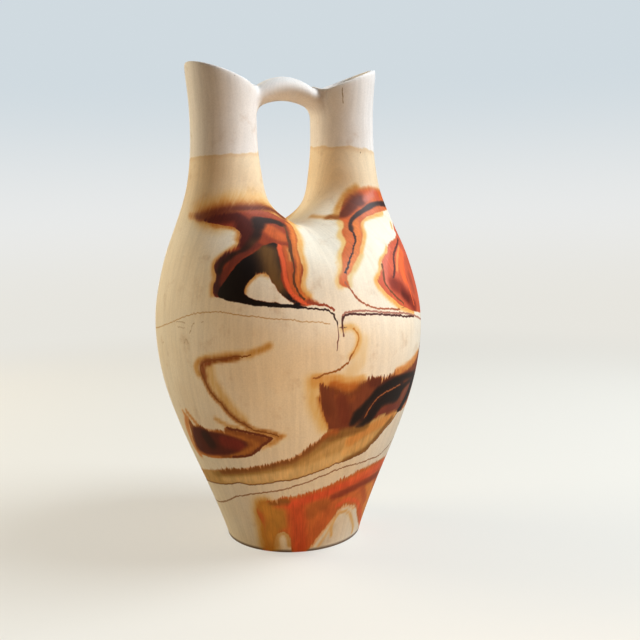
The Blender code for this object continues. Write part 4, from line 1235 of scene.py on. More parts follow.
class SwirlField:
    """Distances in mm from the points of a skin to the drawn swirls, measured along the clay."""

    def __init__(self, sizes, points, normals):
        x, y, self.height = points[:, 0] * 1000, points[:, 1] * 1000, points[:, 2] * 1000
        self.x = x
        on_spout = smooth_step(self.height, SPOUTS_START, SPOUTS_WHOLE)
        along = x - np.sign(x) * sizes.spout_spacing * 500 * on_spout
        self.angle = np.degrees(np.arctan2(y, along)) + VIEW_MIDDLE
        self.round = np.hypot(along, y) * math.pi / 180
        self.stretch = 1 / np.maximum(np.hypot(normals[:, 0], normals[:, 1]), FLATTEST)

    def near(self, path, side):
        """Points that a path may reach, and their degrees counted from the path's middle."""
        middle = (path[:, 0].min() + path[:, 0].max()) / 2
        turned = (self.angle - middle + 180) % 360 - 180
        reach = FAR / np.maximum(self.round, 0.2)
        low, high = path.min(0) - (middle, 0), path.max(0) - (middle, 0)
        hit = (turned > low[0] - reach) & (turned < high[0] + reach)
        hit &= (self.height > low[1] - FAR) & (self.height < high[1] + FAR)
        hit &= (self.height < SPOUTS_START) | (self.x * side > 0)
        return np.nonzero(hit)[0], turned[hit], path - (middle, 0)

    def measure(self, drawn, closed, side):
        """(points, distance, whether inside or which side, upward lean of the edge, past an end)"""
        path = smooth_path(drawn, closed)
        index, turned, path = self.near(path, side)
        height, scale, stretch = self.height[index], self.round[index], self.stretch[index]
        best = np.full(len(index), FAR * FAR)
        lean, flank = np.zeros(len(index)), np.ones(len(index))
        ended = np.zeros(len(index), bool)
        inside = np.zeros(len(index), bool)
        ends = len(path) if closed else len(path) - 1
        for k in range(ends):
            (a0, z0), (a1, z1) = path[k], path[(k + 1) % len(path)]
            across, up = (a0 - turned) * scale, (z0 - height) * stretch
            run, rise = (a1 - a0) * scale, (z1 - z0) * stretch
            share = np.clip(-(across * run + up * rise) / (run * run + rise * rise + 1e-9), 0, 1)
            to_across, to_up = across + share * run, up + share * rise
            squared = to_across * to_across + to_up * to_up
            closer = squared < best
            best = np.where(closer, squared, best)
            lean = np.where(closer, to_up, lean)
            flank = np.where(closer, np.sign(run * to_up - rise * to_across), flank)
            if not closed:
                past = ((k == 0) & (share == 0)) | ((k == ends - 1) & (share == 1))
                ended = np.where(closer, past, ended)
            crossed = (z0 > height) != (z1 > height)
            if closed and z0 != z1:
                inside ^= crossed & (turned < (a1 - a0) * (height - z0) / (z1 - z0) + a0)
        distance = np.sqrt(best)
        lean = lean / np.maximum(distance, 1e-6)
        return index, distance, inside if closed else flank, np.where(inside, lean, -lean), ended

    def marks(self, *layers):
        """Each mark of these layers, with what measure finds. Distances inside a closed one are negative."""
        for mark in MARKS:
            if mark.layer in layers:
                closed = mark.layer in CLOSED_LAYERS
                index, distance, flank, lean, ended = self.measure(mark.path, closed, mark.side)
                if closed:
                    distance = np.where(flank, -distance, distance)
                yield mark, index, distance, flank, lean, ended

    def covered(self):
        """Distances to pools, cores and glows, the pools' edges, and the cores' softness and colour."""
        count = len(self.height)
        cover = np.full((count, 3), FAR)
        edge = np.tile(PLAIN_EDGE, (count, 1))
        pool_colour, core_colour = np.tile(PLAIN_POOL, (count, 1)), np.tile(PLAIN_CORE, (count, 1))
        core_fade = np.full(count, PLAIN_FADE)
        for mark, index, distance, _, lean, _ in self.marks("pool"):
            first = distance < cover[index, 0]
            index, distance, lean = index[first], distance[first], lean[first]
            cover[index, 0] = distance
            feathered, softened = smooth_step(lean, 0.0, 0.8), smooth_step(lean, 0.3, 0.9)
            bled = smooth_step(lean, -0.7, 0.9)
            edge[index, 0] = mark.ragged * (RAGGED_BELOW + (1 - RAGGED_BELOW) * feathered)
            edge[index, 1] = mark.fade * (1 + SOFTER_ABOVE * abs(mark.side) * softened)
            edge[index, 2] = mark.halo * (HALO_BELOW + (1 - HALO_BELOW) * bled)
            pool_colour[index] = mark.colour
        for mark, index, distance, _, _, _ in self.marks("core", "glow"):
            column = 2 if mark.layer == "glow" else 1
            distance = distance - mark.width
            first = distance < cover[index, column]
            index, distance = index[first], distance[first]
            cover[index, column] = distance
            if column == 1:
                core_colour[index] = mark.colour
                core_fade[index] = mark.fade
        for _, index, distance, _, _, _ in self.marks("eye"):
            cover[index] = np.maximum(cover[index], -distance[:, None])
        self.brush(pool_colour, "tone")
        self.brush(core_colour, "shade")
        core_colour[:, 3] = core_fade
        return cover, edge, pool_colour, core_colour

    def brush(self, colours, layer):
        """Lays the soft strokes of a layer over the colour at each point, and builds up its alpha."""
        for mark, index, distance, _, _, _ in self.marks(layer):
            fall = smooth_step(distance, mark.width + mark.fade, mark.width)[:, None]
            weight = mark.strength * (fall**3 if layer == "wash" else fall)
            under = colours[index, 3:] * (1 - weight)
            share = weight / np.maximum(under + weight, 1e-6)
            colours[index, :3] = colours[index, :3] ** (1 - share) * np.array(mark.colour[:3]) ** share
            colours[index, 3:] = under + weight

    def washes(self):
        """Colour of the thin pigment at each point, with its strength as alpha."""
        colours = np.tile(NO_WASH, (len(self.height), 1))
        self.brush(colours, "wash")
        return colours

    def hairs(self, layer):
        """Signed distance to a set of hair lines, and their colour, with half their width as alpha."""
        drawn = np.full(len(self.height), FAR)
        colours = np.tile(NO_HAIR, (len(self.height), 1))
        for mark, index, distance, flank, _, ended in self.marks(layer):
            first = distance < np.abs(drawn[index])
            index, distance, flank, ended = index[first], distance[first], flank[first], ended[first]
            drawn[index] = distance * flank
            colours[index, :3] = mark.colour[:3]
            colours[index, 3] = np.where((distance < LINE_REACH) & ~ended, mark.width, -1.0)
        return drawn, colours


def paint_swirls(item, sizes, outside, normals):
    """Stores the swirls' distances and colours on a piece's points, for its material to read."""
    points = np.empty(len(item.data.vertices) * 3, np.float32)
    item.data.vertices.foreach_get("co", points)
    points = points.reshape(-1, 3).astype(float)
    field = SwirlField(sizes, points[outside], normals[outside])
    cover, edge, pool_colour, core_colour = field.covered()
    lines, hairs = zip(*(field.hairs(layer) for layer in HAIR_LAYERS))
    clear = (FAR, FAR, FAR)
    for name, kind, key, values, empty in (
        ("swirl_cover", "FLOAT_VECTOR", "vector", cover, clear),
        ("swirl_edge", "FLOAT_VECTOR", "vector", edge, PLAIN_EDGE),
        ("swirl_lines", "FLOAT_VECTOR", "vector", np.stack(lines, axis=1), clear),
        ("swirl_pool", "FLOAT_COLOR", "color", pool_colour, PLAIN_POOL),
        ("swirl_core", "FLOAT_COLOR", "color", core_colour, PLAIN_CORE),
        ("swirl_wash", "FLOAT_COLOR", "color", field.washes(), NO_WASH),
        *(
            ("swirl_" + layer, "FLOAT_COLOR", "color", values, NO_HAIR)
            for layer, values in zip(HAIR_LAYERS, hairs)
        ),
    ):
        whole = np.tile(empty, (len(points), 1)).astype(np.float32)
        whole[outside] = values
        item.data.attributes.new(name, kind, "POINT").data.foreach_set(key, whole.ravel())


class Wiring:
    """Short calls for making nodes and joining them."""

    def __init__(self, tree):
        self.tree = tree

    def add(self, kind, inputs=None, **settings):
        node = self.tree.nodes.new(kind)
        for name, value in settings.items():
            setattr(node, name, value)
        for key, value in (inputs or {}).items():
            self.feed(value, node.inputs[key])
        return node

    def feed(self, value, socket):
        if isinstance(value, bpy.types.NodeSocket):
            self.tree.links.new(value, socket)
        else:
            socket.default_value = value

    def math(self, operation, *values, clamp=False):
        node = self.add("ShaderNodeMath", dict(enumerate(values)), operation=operation, use_clamp=clamp)
        return node.outputs[0]

    def ramp(self, value, low, high, to_low=0.0, to_high=1.0):
        """Smooth step of a value from low to high."""
        node = self.add(
            "ShaderNodeMapRange",
            {"Value": value, "From Min": low, "From Max": high, "To Min": to_low, "To Max": to_high},
            interpolation_type="SMOOTHSTEP",
        )
        return node.outputs[0]

    def mix(self, share, first, second, blend="MIX"):
        node = self.add("ShaderNodeMix", data_type="RGBA", blend_type=blend)
        self.feed(share, node.inputs["Factor"])
        self.feed(first, node.inputs[6])
        self.feed(second, node.inputs[7])
        return node.outputs[2]

    def stain(self, share, ground, pigment):
        """A ground seen through pigment that soaked in by a share, so that thin edges stay rich in colour."""
        left = self.add("ShaderNodeGamma", {0: ground, 1: self.math("SUBTRACT", 1.0, share)}).outputs[0]
        soaked = self.add("ShaderNodeGamma", {0: pigment, 1: share}).outputs[0]
        return self.mix(1.0, left, soaked, "MULTIPLY")

    def noise(self, place, scale, detail=2.0, roughness=0.5):
        node = self.add(
            "ShaderNodeTexNoise",
            {"Vector": place, "Scale": scale, "Detail": detail, "Roughness": roughness},
        )
        return node.outputs[0]

    def place(self, scale=(1.0, 1.0, 1.0)):
        """Place on the object in metres, stretched by a scale."""
        here = self.add("ShaderNodeTexCoord").outputs["Object"]
        return self.add("ShaderNodeMapping", {"Vector": here, "Scale": scale}).outputs[0]

    def upright(self, share):
        """Place round the vase at one radius, with heights drawn in to a share, for upright noise."""
        here = self.add("ShaderNodeSeparateXYZ", {0: self.place()}).outputs
        flat = self.add("ShaderNodeCombineXYZ", {0: here[0], 1: here[1]}).outputs[0]
        unit = self.add("ShaderNodeVectorMath", {0: flat}, operation="NORMALIZE").outputs[0]
        around = self.add(
            "ShaderNodeVectorMath", {0: unit, "Scale": UPRIGHT_RADIUS}, operation="SCALE"
        ).outputs[0]
        up = self.add("ShaderNodeCombineXYZ", {2: self.math("MULTIPLY", here[2], share)}).outputs[0]
        return self.add("ShaderNodeVectorMath", {0: around, 1: up}).outputs[0]

    def attribute(self, name):
        """The three values of a point attribute."""
        vector = self.add("ShaderNodeAttribute", attribute_name=name).outputs["Vector"]
        return self.add("ShaderNodeSeparateXYZ", {0: vector}).outputs[:3]

    def painted(self, name):
        """The colour and the alpha of a point attribute."""
        found = self.add("ShaderNodeAttribute", attribute_name=name).outputs
        return found["Color"], found["Alpha"]

    def group(self, name, make, inputs):
        """What a node group puts out. The group is made at its first use."""
        tree = bpy.data.node_groups.get(name) or make()
        return self.add("ShaderNodeGroup", inputs, node_tree=tree).outputs


def group_of(name, inputs, outputs):
    """An empty node group, with its wiring and its inner ends."""
    tree = bpy.data.node_groups.new(name, "ShaderNodeTree")
    for label, kind, default in inputs:
        socket = tree.interface.new_socket(label, in_out="INPUT", socket_type=kind)
        socket.default_value = default
    for label, kind in outputs:
        tree.interface.new_socket(label, in_out="OUTPUT", socket_type=kind)
    wires = Wiring(tree)
    given = wires.add("NodeGroupInput").outputs
    result = wires.add("NodeGroupOutput").inputs
    return tree, wires, given, result


COLOUR, VALUE = "NodeSocketColor", "NodeSocketFloat"

# Noises: scale per metre, detail and roughness
CLAY_CLOUD = (38.0, 4.0, 0.6)
CLAY_FINE = (1300.0, 3.0, 0.6)
CLAY_BRUSH = (520.0, 3.0, 0.6)
CLAY_SMUDGE = (95.0, 3.0, 0.65)
DIP_WAVE = (75.0, 4.0, 0.65)
DIP_CLOUD = (30.0, 4.0, 0.55)
PIGMENT_STREAK = (1150.0, 2.0, 0.6)
PIGMENT_BROAD = (300.0, 3.0, 0.6)
PIGMENT_WOBBLE = (480.0, 3.0, 0.6)

# Upright noise lies round the vase at one radius, with its heights drawn in to a share
UPRIGHT_RADIUS = 0.055
BRUSH_SHARE, STREAK_SHARE, BROAD_SHARE = 0.07, 0.1, 0.2

# Clay: how much its patches, pits and grain tell
CREAM_MOTTLE, HONEY_MOTTLE = 0.25, 0.4
SMUDGE_SHADE, SMUDGE_MOST = srgb(206, 178, 146), 0.3
PIT_CELLS, PITLESS_SHARE = 130.0, 0.86
PIT_EDGE, PIT_WHOLE = 0.045, 0.02
PIT_SHADE, PIT_DARK = srgb(120, 88, 62), 0.55
FINE_RELIEF, PIT_RELIEF = 0.5, 2.0
GRAIN_STRENGTH = 0.5
CLAY_GLOSS = 0.22
PIGMENT_SMOOTHS = -0.08

# Edge of the dip in metres: where it is highest, its fall to both sides, its waves and its softness. Under it
# are the tide line, the stain and, at the foot, a painted contact shadow.
DIP_HIGHEST_X, DIP_HIGHEST, DIP_FALL = 0.0155, 0.1975, -0.102
DIP_WAVE_HEIGHT = 0.006
DIP_STARTS, DIP_WHOLE = -0.0004, 0.0006
TIDE_ENDS, TIDE_WHOLE, TIDE_STRENGTH = 0.0028, 0.0005, 0.6
STAIN_STARTS, STAIN_WHOLE = 0.156, 0.186
STAIN_HIGH, STAIN_CLOUD = 0.85, 0.3
# Painted contact shadow: a thin dark band along the lowest millimetres of the foot, where it meets the table
CONTACT_SHADE_ENDS, CONTACT_SHADE_WHOLE, CONTACT_SHADE_STRENGTH = 0.0022, 0.0005, 0.85
CONTACT_SHADE_COLOUR = srgb(84, 58, 40)

# Pigment: how far the noises move its edges, in mm, and change its strength
WASH_UNEVEN = 0.9
BLEED_UNEVEN, BLEED_INSIDE, BLEED_POWER, BLEED_STRENGTH = 0.9, -0.4, 1.5, 0.85
FEATHER_REACH, POOL_WOBBLE = 5.0, 0.8
GRAIN_STREAK, GRAIN_BROAD = 0.55, 0.6
GLOW_WOBBLE, GLOW_ENDS, GLOW_WHOLE, GLOW_STRENGTH = 1.2, 0.5, -0.4, 0.9
CORE_WOBBLE = 0.9
RIM_STARTS, RIM_WHOLE, RIM_STRENGTH = -0.9, 0.1, 0.3
HAIR_UNEVEN, HAIR_TEETH, HAIR_WOBBLE = 1.4, 1.7, 0.5
HAIR_ENDS, HAIR_WHOLE = -0.25, 0.1


def clay_grain_group():
    """Mottled colour and fine relief of dry cast clay."""
    tree, wires, given, result = group_of(
        "clay grain",
        (
            ("Clay", COLOUR, (0.8, 0.8, 0.8, 1)), ("Shade", COLOUR, (0.7, 0.7, 0.7, 1)),
            ("Mottle", VALUE, 0.6),
        ),
        (("Colour", COLOUR), ("Height", VALUE)),
    )
    place = wires.place()
    cloud = wires.ramp(wires.noise(place, *CLAY_CLOUD), 0.35, 0.7)
    colour_now = wires.mix(wires.math("MULTIPLY", cloud, given["Mottle"]), given["Clay"], given["Shade"])
    fine = wires.noise(place, *CLAY_FINE)
    brush = wires.noise(wires.upright(BRUSH_SHARE), *CLAY_BRUSH)
    for tint in (wires.ramp(fine, 0.25, 0.75, 0.94, 1.04), wires.ramp(brush, 0.3, 0.7, 0.92, 1.02)):
        colour_now = wires.mix(1.0, colour_now, tint, "MULTIPLY")
    smudge = wires.ramp(wires.noise(place, *CLAY_SMUDGE), 0.56, 0.74, 0.0, SMUDGE_MOST)
    colour_now = wires.mix(smudge, colour_now, SMUDGE_SHADE, "MULTIPLY")
    cells = wires.add("ShaderNodeTexVoronoi", {"Vector": place, "Scale": PIT_CELLS}).outputs
    lot = wires.add("ShaderNodeSeparateColor", {0: cells["Color"]}).outputs[0]
    chosen = wires.math("GREATER_THAN", lot, PITLESS_SHARE)
    pit = wires.math("MULTIPLY", wires.ramp(cells["Distance"], PIT_EDGE, PIT_WHOLE), chosen)
    colour_now = wires.mix(wires.math("MULTIPLY", pit, PIT_DARK), colour_now, PIT_SHADE)
    sunk = wires.math("MULTIPLY", pit, PIT_RELIEF)
    relief = wires.math("SUBTRACT", wires.math("MULTIPLY", fine, FINE_RELIEF), sunk)
    wires.feed(colour_now, result["Colour"])
    wires.feed(relief, result["Height"])
    return tree


def dip_stain_group():
    """Honey stain that the dip left on the clay below its wavering edge, and a painted contact shadow at the
    foot's edge.
    """
    tree, wires, given, result = group_of(
        "dip stain",
        (
            ("Bare", COLOUR, (0.8, 0.8, 0.8, 1)), ("Cream", COLOUR, (0.8, 0.7, 0.6, 1)),
            ("Honey", COLOUR, (0.7, 0.5, 0.3, 1)), ("Tide", COLOUR, (0.6, 0.4, 0.2, 1)),
        ),
        (("Colour", COLOUR),),
    )
    place = wires.place()
    along, _, height = wires.add("ShaderNodeSeparateXYZ", {0: place}).outputs[:3]
    wave = wires.math("SUBTRACT", wires.noise(place, *DIP_WAVE), 0.5)
    wave = wires.math("MULTIPLY", wave, DIP_WAVE_HEIGHT)
    off_middle = wires.math("ABSOLUTE", wires.math("SUBTRACT", along, DIP_HIGHEST_X))
    dip_edge = wires.math("MULTIPLY_ADD", off_middle, DIP_FALL, wires.math("ADD", wave, DIP_HIGHEST))
    below = wires.math("SUBTRACT", dip_edge, height)
    dipped = wires.ramp(below, DIP_STARTS, DIP_WHOLE)
    line = wires.math("MULTIPLY", dipped, wires.ramp(below, TIDE_ENDS, TIDE_WHOLE))
    cloud = wires.math("MULTIPLY", wires.ramp(wires.noise(place, *DIP_CLOUD), 0.3, 0.75), STAIN_CLOUD)
    high = wires.math("MULTIPLY", wires.ramp(height, STAIN_STARTS, STAIN_WHOLE), STAIN_HIGH)
    stain = wires.math("ADD", high, cloud, clamp=True)
    colour_now = wires.mix(stain, given["Cream"], given["Honey"])
    colour_now = wires.mix(wires.math("MULTIPLY", line, TIDE_STRENGTH), colour_now, given["Tide"])
    colour_now = wires.mix(dipped, given["Bare"], colour_now)
    # Painted contact shadow: darkens the lowest few millimetres of the foot
    contact_shade = wires.math("MULTIPLY", wires.ramp(height, CONTACT_SHADE_ENDS, CONTACT_SHADE_WHOLE), CONTACT_SHADE_STRENGTH)
    wires.feed(wires.mix(contact_shade, colour_now, CONTACT_SHADE_COLOUR), result["Colour"])
    return tree


def floated_pigment_group():
    """Washes, feathered pools, dark cores, bright streaks and hair lines, read from the points' swirls."""
    tree, wires, given, result = group_of(
        "floated pigment",
        (
            ("Ground", COLOUR, (0.8, 0.7, 0.6, 1)), ("Amber", COLOUR, (0.6, 0.3, 0.1, 1)),
            ("Rim", COLOUR, (0.4, 0.1, 0.02, 1)), ("Hot", COLOUR, (0.7, 0.1, 0.02, 1)),
        ),
        (("Colour", COLOUR), ("Cover", VALUE)),
    )
    cover, core, glow = wires.attribute("swirl_cover")
    ragged, soft, halo = wires.attribute("swirl_edge")
    streak, broad, wobble = (
        wires.math("SUBTRACT", wires.noise(place, *noise), 0.5)
        for place, noise in (
            (wires.upright(STREAK_SHARE), PIGMENT_STREAK),
            (wires.place((1, 1, BROAD_SHARE)), PIGMENT_BROAD),
            (wires.place(), PIGMENT_WOBBLE),
        )
    )

    wash_colour, wash = wires.painted("swirl_wash")
    uneven = wires.math(
        "MULTIPLY_ADD", streak, WASH_UNEVEN, wires.math("MULTIPLY_ADD", broad, WASH_UNEVEN, 1.0)
    )
    wash = wires.math("MULTIPLY", wash, uneven, clamp=True)
    colour_now = wires.stain(wash, given["Ground"], wash_colour)

    spread = wires.math("MULTIPLY_ADD", wires.math("ADD", streak, broad), BLEED_UNEVEN, 1.0)
    bleed = wires.ramp(cover, wires.math("MULTIPLY", halo, spread), BLEED_INSIDE)
    bleed = wires.math("MULTIPLY", wires.math("POWER", bleed, BLEED_POWER), BLEED_STRENGTH)
    colour_now = wires.mix(bleed, colour_now, given["Amber"], "DARKEN")

    feather = wires.math("MULTIPLY", wires.math("MULTIPLY", streak, ragged), FEATHER_REACH)
    depth = wires.math("ADD", cover, wires.math("MULTIPLY_ADD", wobble, POOL_WOBBLE, feather))
    half_soft = wires.math("MULTIPLY", soft, 0.5)
    pool = wires.ramp(depth, half_soft, wires.math("MULTIPLY", half_soft, -1.0))

    pool_colour, _ = wires.painted("swirl_pool")
    grain = wires.math(
        "MULTIPLY_ADD", streak, GRAIN_STREAK, wires.math("MULTIPLY_ADD", broad, GRAIN_BROAD, 1.0)
    )
    deep = wires.mix(1.0, pool_colour, grain, "MULTIPLY")
    bright = wires.ramp(wires.math("MULTIPLY_ADD", broad, GLOW_WOBBLE, glow), GLOW_ENDS, GLOW_WHOLE)
    deep = wires.mix(wires.math("MULTIPLY", bright, GLOW_STRENGTH), deep, given["Hot"])
    core_colour, core_fade = wires.painted("swirl_core")
    half_fade = wires.math("MULTIPLY", core_fade, 0.5)
    black = wires.ramp(
        wires.math("MULTIPLY_ADD", wobble, CORE_WOBBLE, core),
        half_fade, wires.math("MULTIPLY", half_fade, -1.0),
    )
    deep = wires.stain(black, deep, wires.mix(1.0, core_colour, grain, "MULTIPLY"))
    rim = wires.math("MULTIPLY", wires.ramp(depth, RIM_STARTS, RIM_WHOLE), RIM_STRENGTH)
    rim = wires.math("MULTIPLY", rim, wires.math("SUBTRACT", 1.0, black))
    deep = wires.mix(rim, deep, given["Rim"], "DARKEN")
    colour_now = wires.stain(pool, colour_now, deep)

    teeth = wires.math("MULTIPLY_ADD", streak, HAIR_TEETH, wires.math("MULTIPLY", wobble, HAIR_WOBBLE))
    thinned = wires.math("MULTIPLY_ADD", broad, HAIR_UNEVEN, 1.0)
    for line, layer in zip(wires.attribute("swirl_lines"), HAIR_LAYERS):
        hair_colour, half_width = wires.painted("swirl_" + layer)
        off = wires.math("ABSOLUTE", wires.math("ADD", teeth, line))
        inside = wires.math("SUBTRACT", wires.math("MULTIPLY", half_width, thinned), off)
        colour_now = wires.stain(wires.ramp(inside, HAIR_ENDS, HAIR_WHOLE), colour_now, hair_colour)
    wires.feed(colour_now, result["Colour"])
    wires.feed(pool, result["Cover"])
    return tree


def clay_material(name, finish, dipped):
    """Dry clay, and where it was dipped the stain and the floated pigments over it."""
    material = bpy.data.materials.new(name)
    material.use_nodes = True
    wires = Wiring(material.node_tree)
    shader = material.node_tree.nodes["Principled BSDF"]

    def grained(clay, shade, **more):
        inputs = {"Clay": tuple(clay), "Shade": tuple(shade), **more}
        return wires.group("clay grain", clay_grain_group, inputs)

    grain = grained(finish.bare_clay, finish.clay_shade)
    ground, roughness = grain["Colour"], finish.roughness
    if dipped:
        body = grained(finish.cream, finish.honey, Mottle=CREAM_MOTTLE)
        soaked = grained(finish.honey, finish.tide, Mottle=HONEY_MOTTLE)
        stain = wires.group("dip stain", dip_stain_group, {
            "Bare": ground, "Cream": body["Colour"], "Honey": soaked["Colour"], "Tide": tuple(finish.tide),
        })
        swirl = wires.group("floated pigment", floated_pigment_group, {
            "Ground": stain["Colour"], "Amber": tuple(finish.amber), "Rim": tuple(finish.rim_rust),
            "Hot": tuple(finish.hot),
        })
        ground = swirl["Colour"]
        roughness = wires.math("MULTIPLY_ADD", swirl["Cover"], PIGMENT_SMOOTHS, finish.roughness)
    bump = wires.add(
        "ShaderNodeBump",
        {"Height": grain["Height"], "Strength": GRAIN_STRENGTH, "Distance": finish.grain},
    )
    for label, value in (
        ("Base Color", ground), ("Roughness", roughness), ("Normal", bump.outputs[0]),
        ("Specular IOR Level", CLAY_GLOSS),
    ):
        wires.feed(value, shader.inputs[label])
    return material


def dress(item, node, material):
    """Sets a finished piece in place of its CAD node."""
    item.data.materials.append(material)
    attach(item, "root")
    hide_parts(node)


def vessel_skin(level):
    """The vessel's surface at a subdivision level, with its foot ground flat on the table."""
    skin = VesselCage(bpy.context.scene.vase_sizes).surface(level)
    skin.points[:, 2] = np.maximum(skin.points[:, 2], 0.0)
    return skin


class VASE_OT_body(bpy.types.Operator):
    """Builds the hollow body with its foot and the collars that carry the spouts"""

    bl_idname = "vase.body"
    bl_label = "Body"

    def execute(self, context):
        sizes, finish = context.scene.vase_sizes, context.scene.vase_finish
        spout_x = sizes.spout_spacing / 2
        outside = vessel_skin(OUTSIDE_LEVEL).tagged(BODY_OUTSIDE)
        inside = vessel_skin(INSIDE_LEVEL).tagged(BODY_INSIDE)
        piece = ClayPiece()
        piece.add_skin(outside, True)
        piece.add_skin(inside, False)
        for side in (-1, 1):
            outer = outside.points[outside.open_ring(side, spout_x, True)]
            inner = inside.points[inside.open_ring(side, spout_x, True)]
            piece.add_joint(outer, inner, True)
        item = piece.build("vase_body")
        paint_swirls(item, sizes, np.concatenate(piece.outside), np.concatenate(piece.normals))
        dress(item, "body", clay_material("dipped_clay", finish, True))
        return {"FINISHED"}


class VASE_OT_spouts(bpy.types.Operator):
    """Builds the two spouts with their slanted rounded lips"""

    bl_idname = "vase.spouts"
    bl_label = "Spouts"

    def execute(self, context):
        sizes, finish = context.scene.vase_sizes, context.scene.vase_finish
        skin = vessel_skin(SPOUT_LEVEL)
        for side, name in ((-1, "left_spout"), (1, "right_spout")):
            spout = skin.tagged(SPOUT_TAG[side])
            axis = np.array((side * sizes.spout_spacing / 2, 0.0, 0.0))
            outward = ((spout.points - axis) * (1, 1, 0) * spout.normals).sum(1) > 0
            piece = ClayPiece()
            piece.add_skin(spout, True)
            outer = spout.points[spout.open_ring(side, axis[0] * side, True)]
            inner = spout.points[spout.open_ring(side, axis[0] * side, False)]
            piece.add_joint(outer, inner, False)
            item = piece.build("vase_" + name)
            painted = np.zeros(piece.count, bool)
            painted[: len(outward)] = outward
            paint_swirls(item, sizes, painted, np.concatenate(piece.normals))
            dress(item, name, clay_material(name + "_clay", finish, True))
        return {"FINISHED"}


def lip_wall_radius(sizes, across, height):
    """Radius of a spout's outside at the handle's end, rounding over at the lip."""
    radius = spout_radius(sizes, np.minimum(height, sizes.rim_height))
    angle = math.pi - np.arcsin(np.clip(across / radius, -0.99, 0.99))
    round_radius = sizes.lip_thickness / 2
    over = height - (rim_height_at(sizes, angle) - round_radius)
    over = np.clip(over, 0.0, round_radius * 0.98)
    return radius - round_radius + np.sqrt(round_radius * round_radius - over * over)


class HandleBar:
    """Rings of points along the right half of the handle, which flare into the spout."""

    def __init__(self, sizes):
        self.sizes = sizes
        self.spout_x = sizes.spout_spacing / 2
        self.reach = self.spout_x - sizes.waist_radius
        turn = 2 * math.pi * np.arange(HANDLE_SECTION_POINTS) / HANDLE_SECTION_POINTS
        self.cos, self.sin = np.cos(turn), np.sin(turn)
        square = self.sin * self.sin
        self.fillet = np.where(
            self.sin > 0,
            sizes.fillet_beside + (sizes.fillet_above - sizes.fillet_beside) * square,
            sizes.fillet_beside + (sizes.fillet_below - sizes.fillet_beside) * square,
        )

    def section(self, along, grown, share=1.0):
        """Depths and heights of the handle's section at places along it, grown outwards."""
        sizes = self.sizes
        bow = np.minimum(np.abs(along) / self.reach, 1.1) ** 2
        middle = sizes.handle_crown + (sizes.handle_end - sizes.handle_crown) * bow
        high = (sizes.handle_thickness + (sizes.handle_end_thickness - sizes.handle_thickness) * bow) / 2
        wide = sizes.handle_width / 2
        out_y, out_z = self.cos / wide, self.sin / high
        out = np.hypot(out_y, out_z)
        y = wide * self.cos + grown * out_y / out
        z = high * self.sin + grown * out_z / out
        return y * share, middle + z * share

    def at_wall(self, grown, off, share=1.0):
        """A ring grown outwards by one distance, that stands off the spout's wall by another."""
        along = np.full(HANDLE_SECTION_POINTS, self.reach)
        for _ in range(WALL_ROUNDS):
            y, z = self.section(along, grown, share)
            radius = lip_wall_radius(self.sizes, y, z) + off
            along = self.spout_x - np.sqrt(np.maximum(radius * radius - y * y, 1e-8))
        return np.stack([along, y, z], axis=1)

    def rings(self):
        """Rings from the crown to the spout's wall."""
        steps = np.linspace(-1, 1, HANDLE_FILLET_STEPS + 1)
        flare = []
        for lean in steps:
            part = self.fillet / 4 * (1 - abs(lean)) ** 2
            flare.append(
                self.at_wall(part + max(0.0, lean) * self.fillet, part + max(0.0, -lean) * self.fillet)
            )
        span = []
        for k in range(HANDLE_SPAN_STEPS):
            along = flare[0][:, 0] * k / HANDLE_SPAN_STEPS
            y, z = self.section(along, 0.0)
            span.append(np.stack([along, y, z], axis=1))
        return span + flare

    def foot(self):
        """Rings of the hidden end, just under the skin of the spout."""
        return [self.at_wall(self.fillet, -HANDLE_FOOT_DEPTH, share) for share in HANDLE_FOOT_SHARES]


def ring_quads(count, rows, start, flip):
    quads = []
    for row in range(rows - 1):
        for k in range(count):
            nxt = (k + 1) % count
            low, high = start + row * count, start + (row + 1) * count
            quad = [low + k, low + nxt, high + nxt, high + k]
            quads.append(quad[::-1] if flip else quad)
    return quads


class VASE_OT_handle(bpy.types.Operator):
    """Builds the arched handle, smoothed into both spouts"""

    bl_idname = "vase.handle"
    bl_label = "Handle"

    def execute(self, context):
        sizes, finish = context.scene.vase_sizes, context.scene.vase_finish
        bar = HandleBar(sizes)
        rings, foot = bar.rings(), bar.foot()
        count = HANDLE_SECTION_POINTS
        mirror = np.array((-1.0, 1.0, 1.0))
        skin = [ring * mirror for ring in rings[:0:-1]] + rings
        points = list(np.concatenate(skin))
        faces = ring_quads(count, len(skin), 0, True)
        for side in (-1, 1):
            start = len(points)
            end = [rings[-1]] + foot
            for ring in end:
                points += list(ring * (mirror if side < 0 else 1.0))
            faces += ring_quads(count, len(end), start, side > 0)
            last = list(range(start + (len(end) - 1) * count, start + len(end) * count))
            faces.append(last if side < 0 else last[::-1])
        mesh = bpy.data.meshes.new("vase_handle")
        mesh.from_pydata([tuple(point) for point in points], [], faces)
        tidy = bmesh.new()
        tidy.from_mesh(mesh)
        bmesh.ops.recalc_face_normals(tidy, faces=tidy.faces)
        tidy.to_mesh(mesh)
        tidy.free()
        mesh.shade_smooth()
        item = bpy.data.objects.new("vase_handle", mesh)
        context.scene.collection.objects.link(item)
        dress(item, "handle", clay_material("handle_clay", finish, False))
        return {"FINISHED"}


def turned_mesh(name, profile):
    """Surface turned round the upright axis from (radius, height) points, closed where it starts inside."""
    mesh = bmesh.new()
    step = 2 * math.pi / STAGE_SEGMENTS
    rings = [
        [
            mesh.verts.new((far * math.cos(step * k), far * math.sin(step * k), high))
            for k in range(STAGE_SEGMENTS)
        ]
        for far, high in profile
    ]
    if profile[0][0] < profile[-1][0] and profile[0][1] == profile[-1][1]:
        mesh.faces.new(rings[0])
    for lower, upper in zip(rings, rings[1:]):
        for k in range(STAGE_SEGMENTS):
            nxt = (k + 1) % STAGE_SEGMENTS
            mesh.faces.new([lower[nxt], lower[k], upper[k], upper[nxt]])
    data = bpy.data.meshes.new(name)
    mesh.to_mesh(data)
    mesh.free()
    data.shade_smooth()
    return data


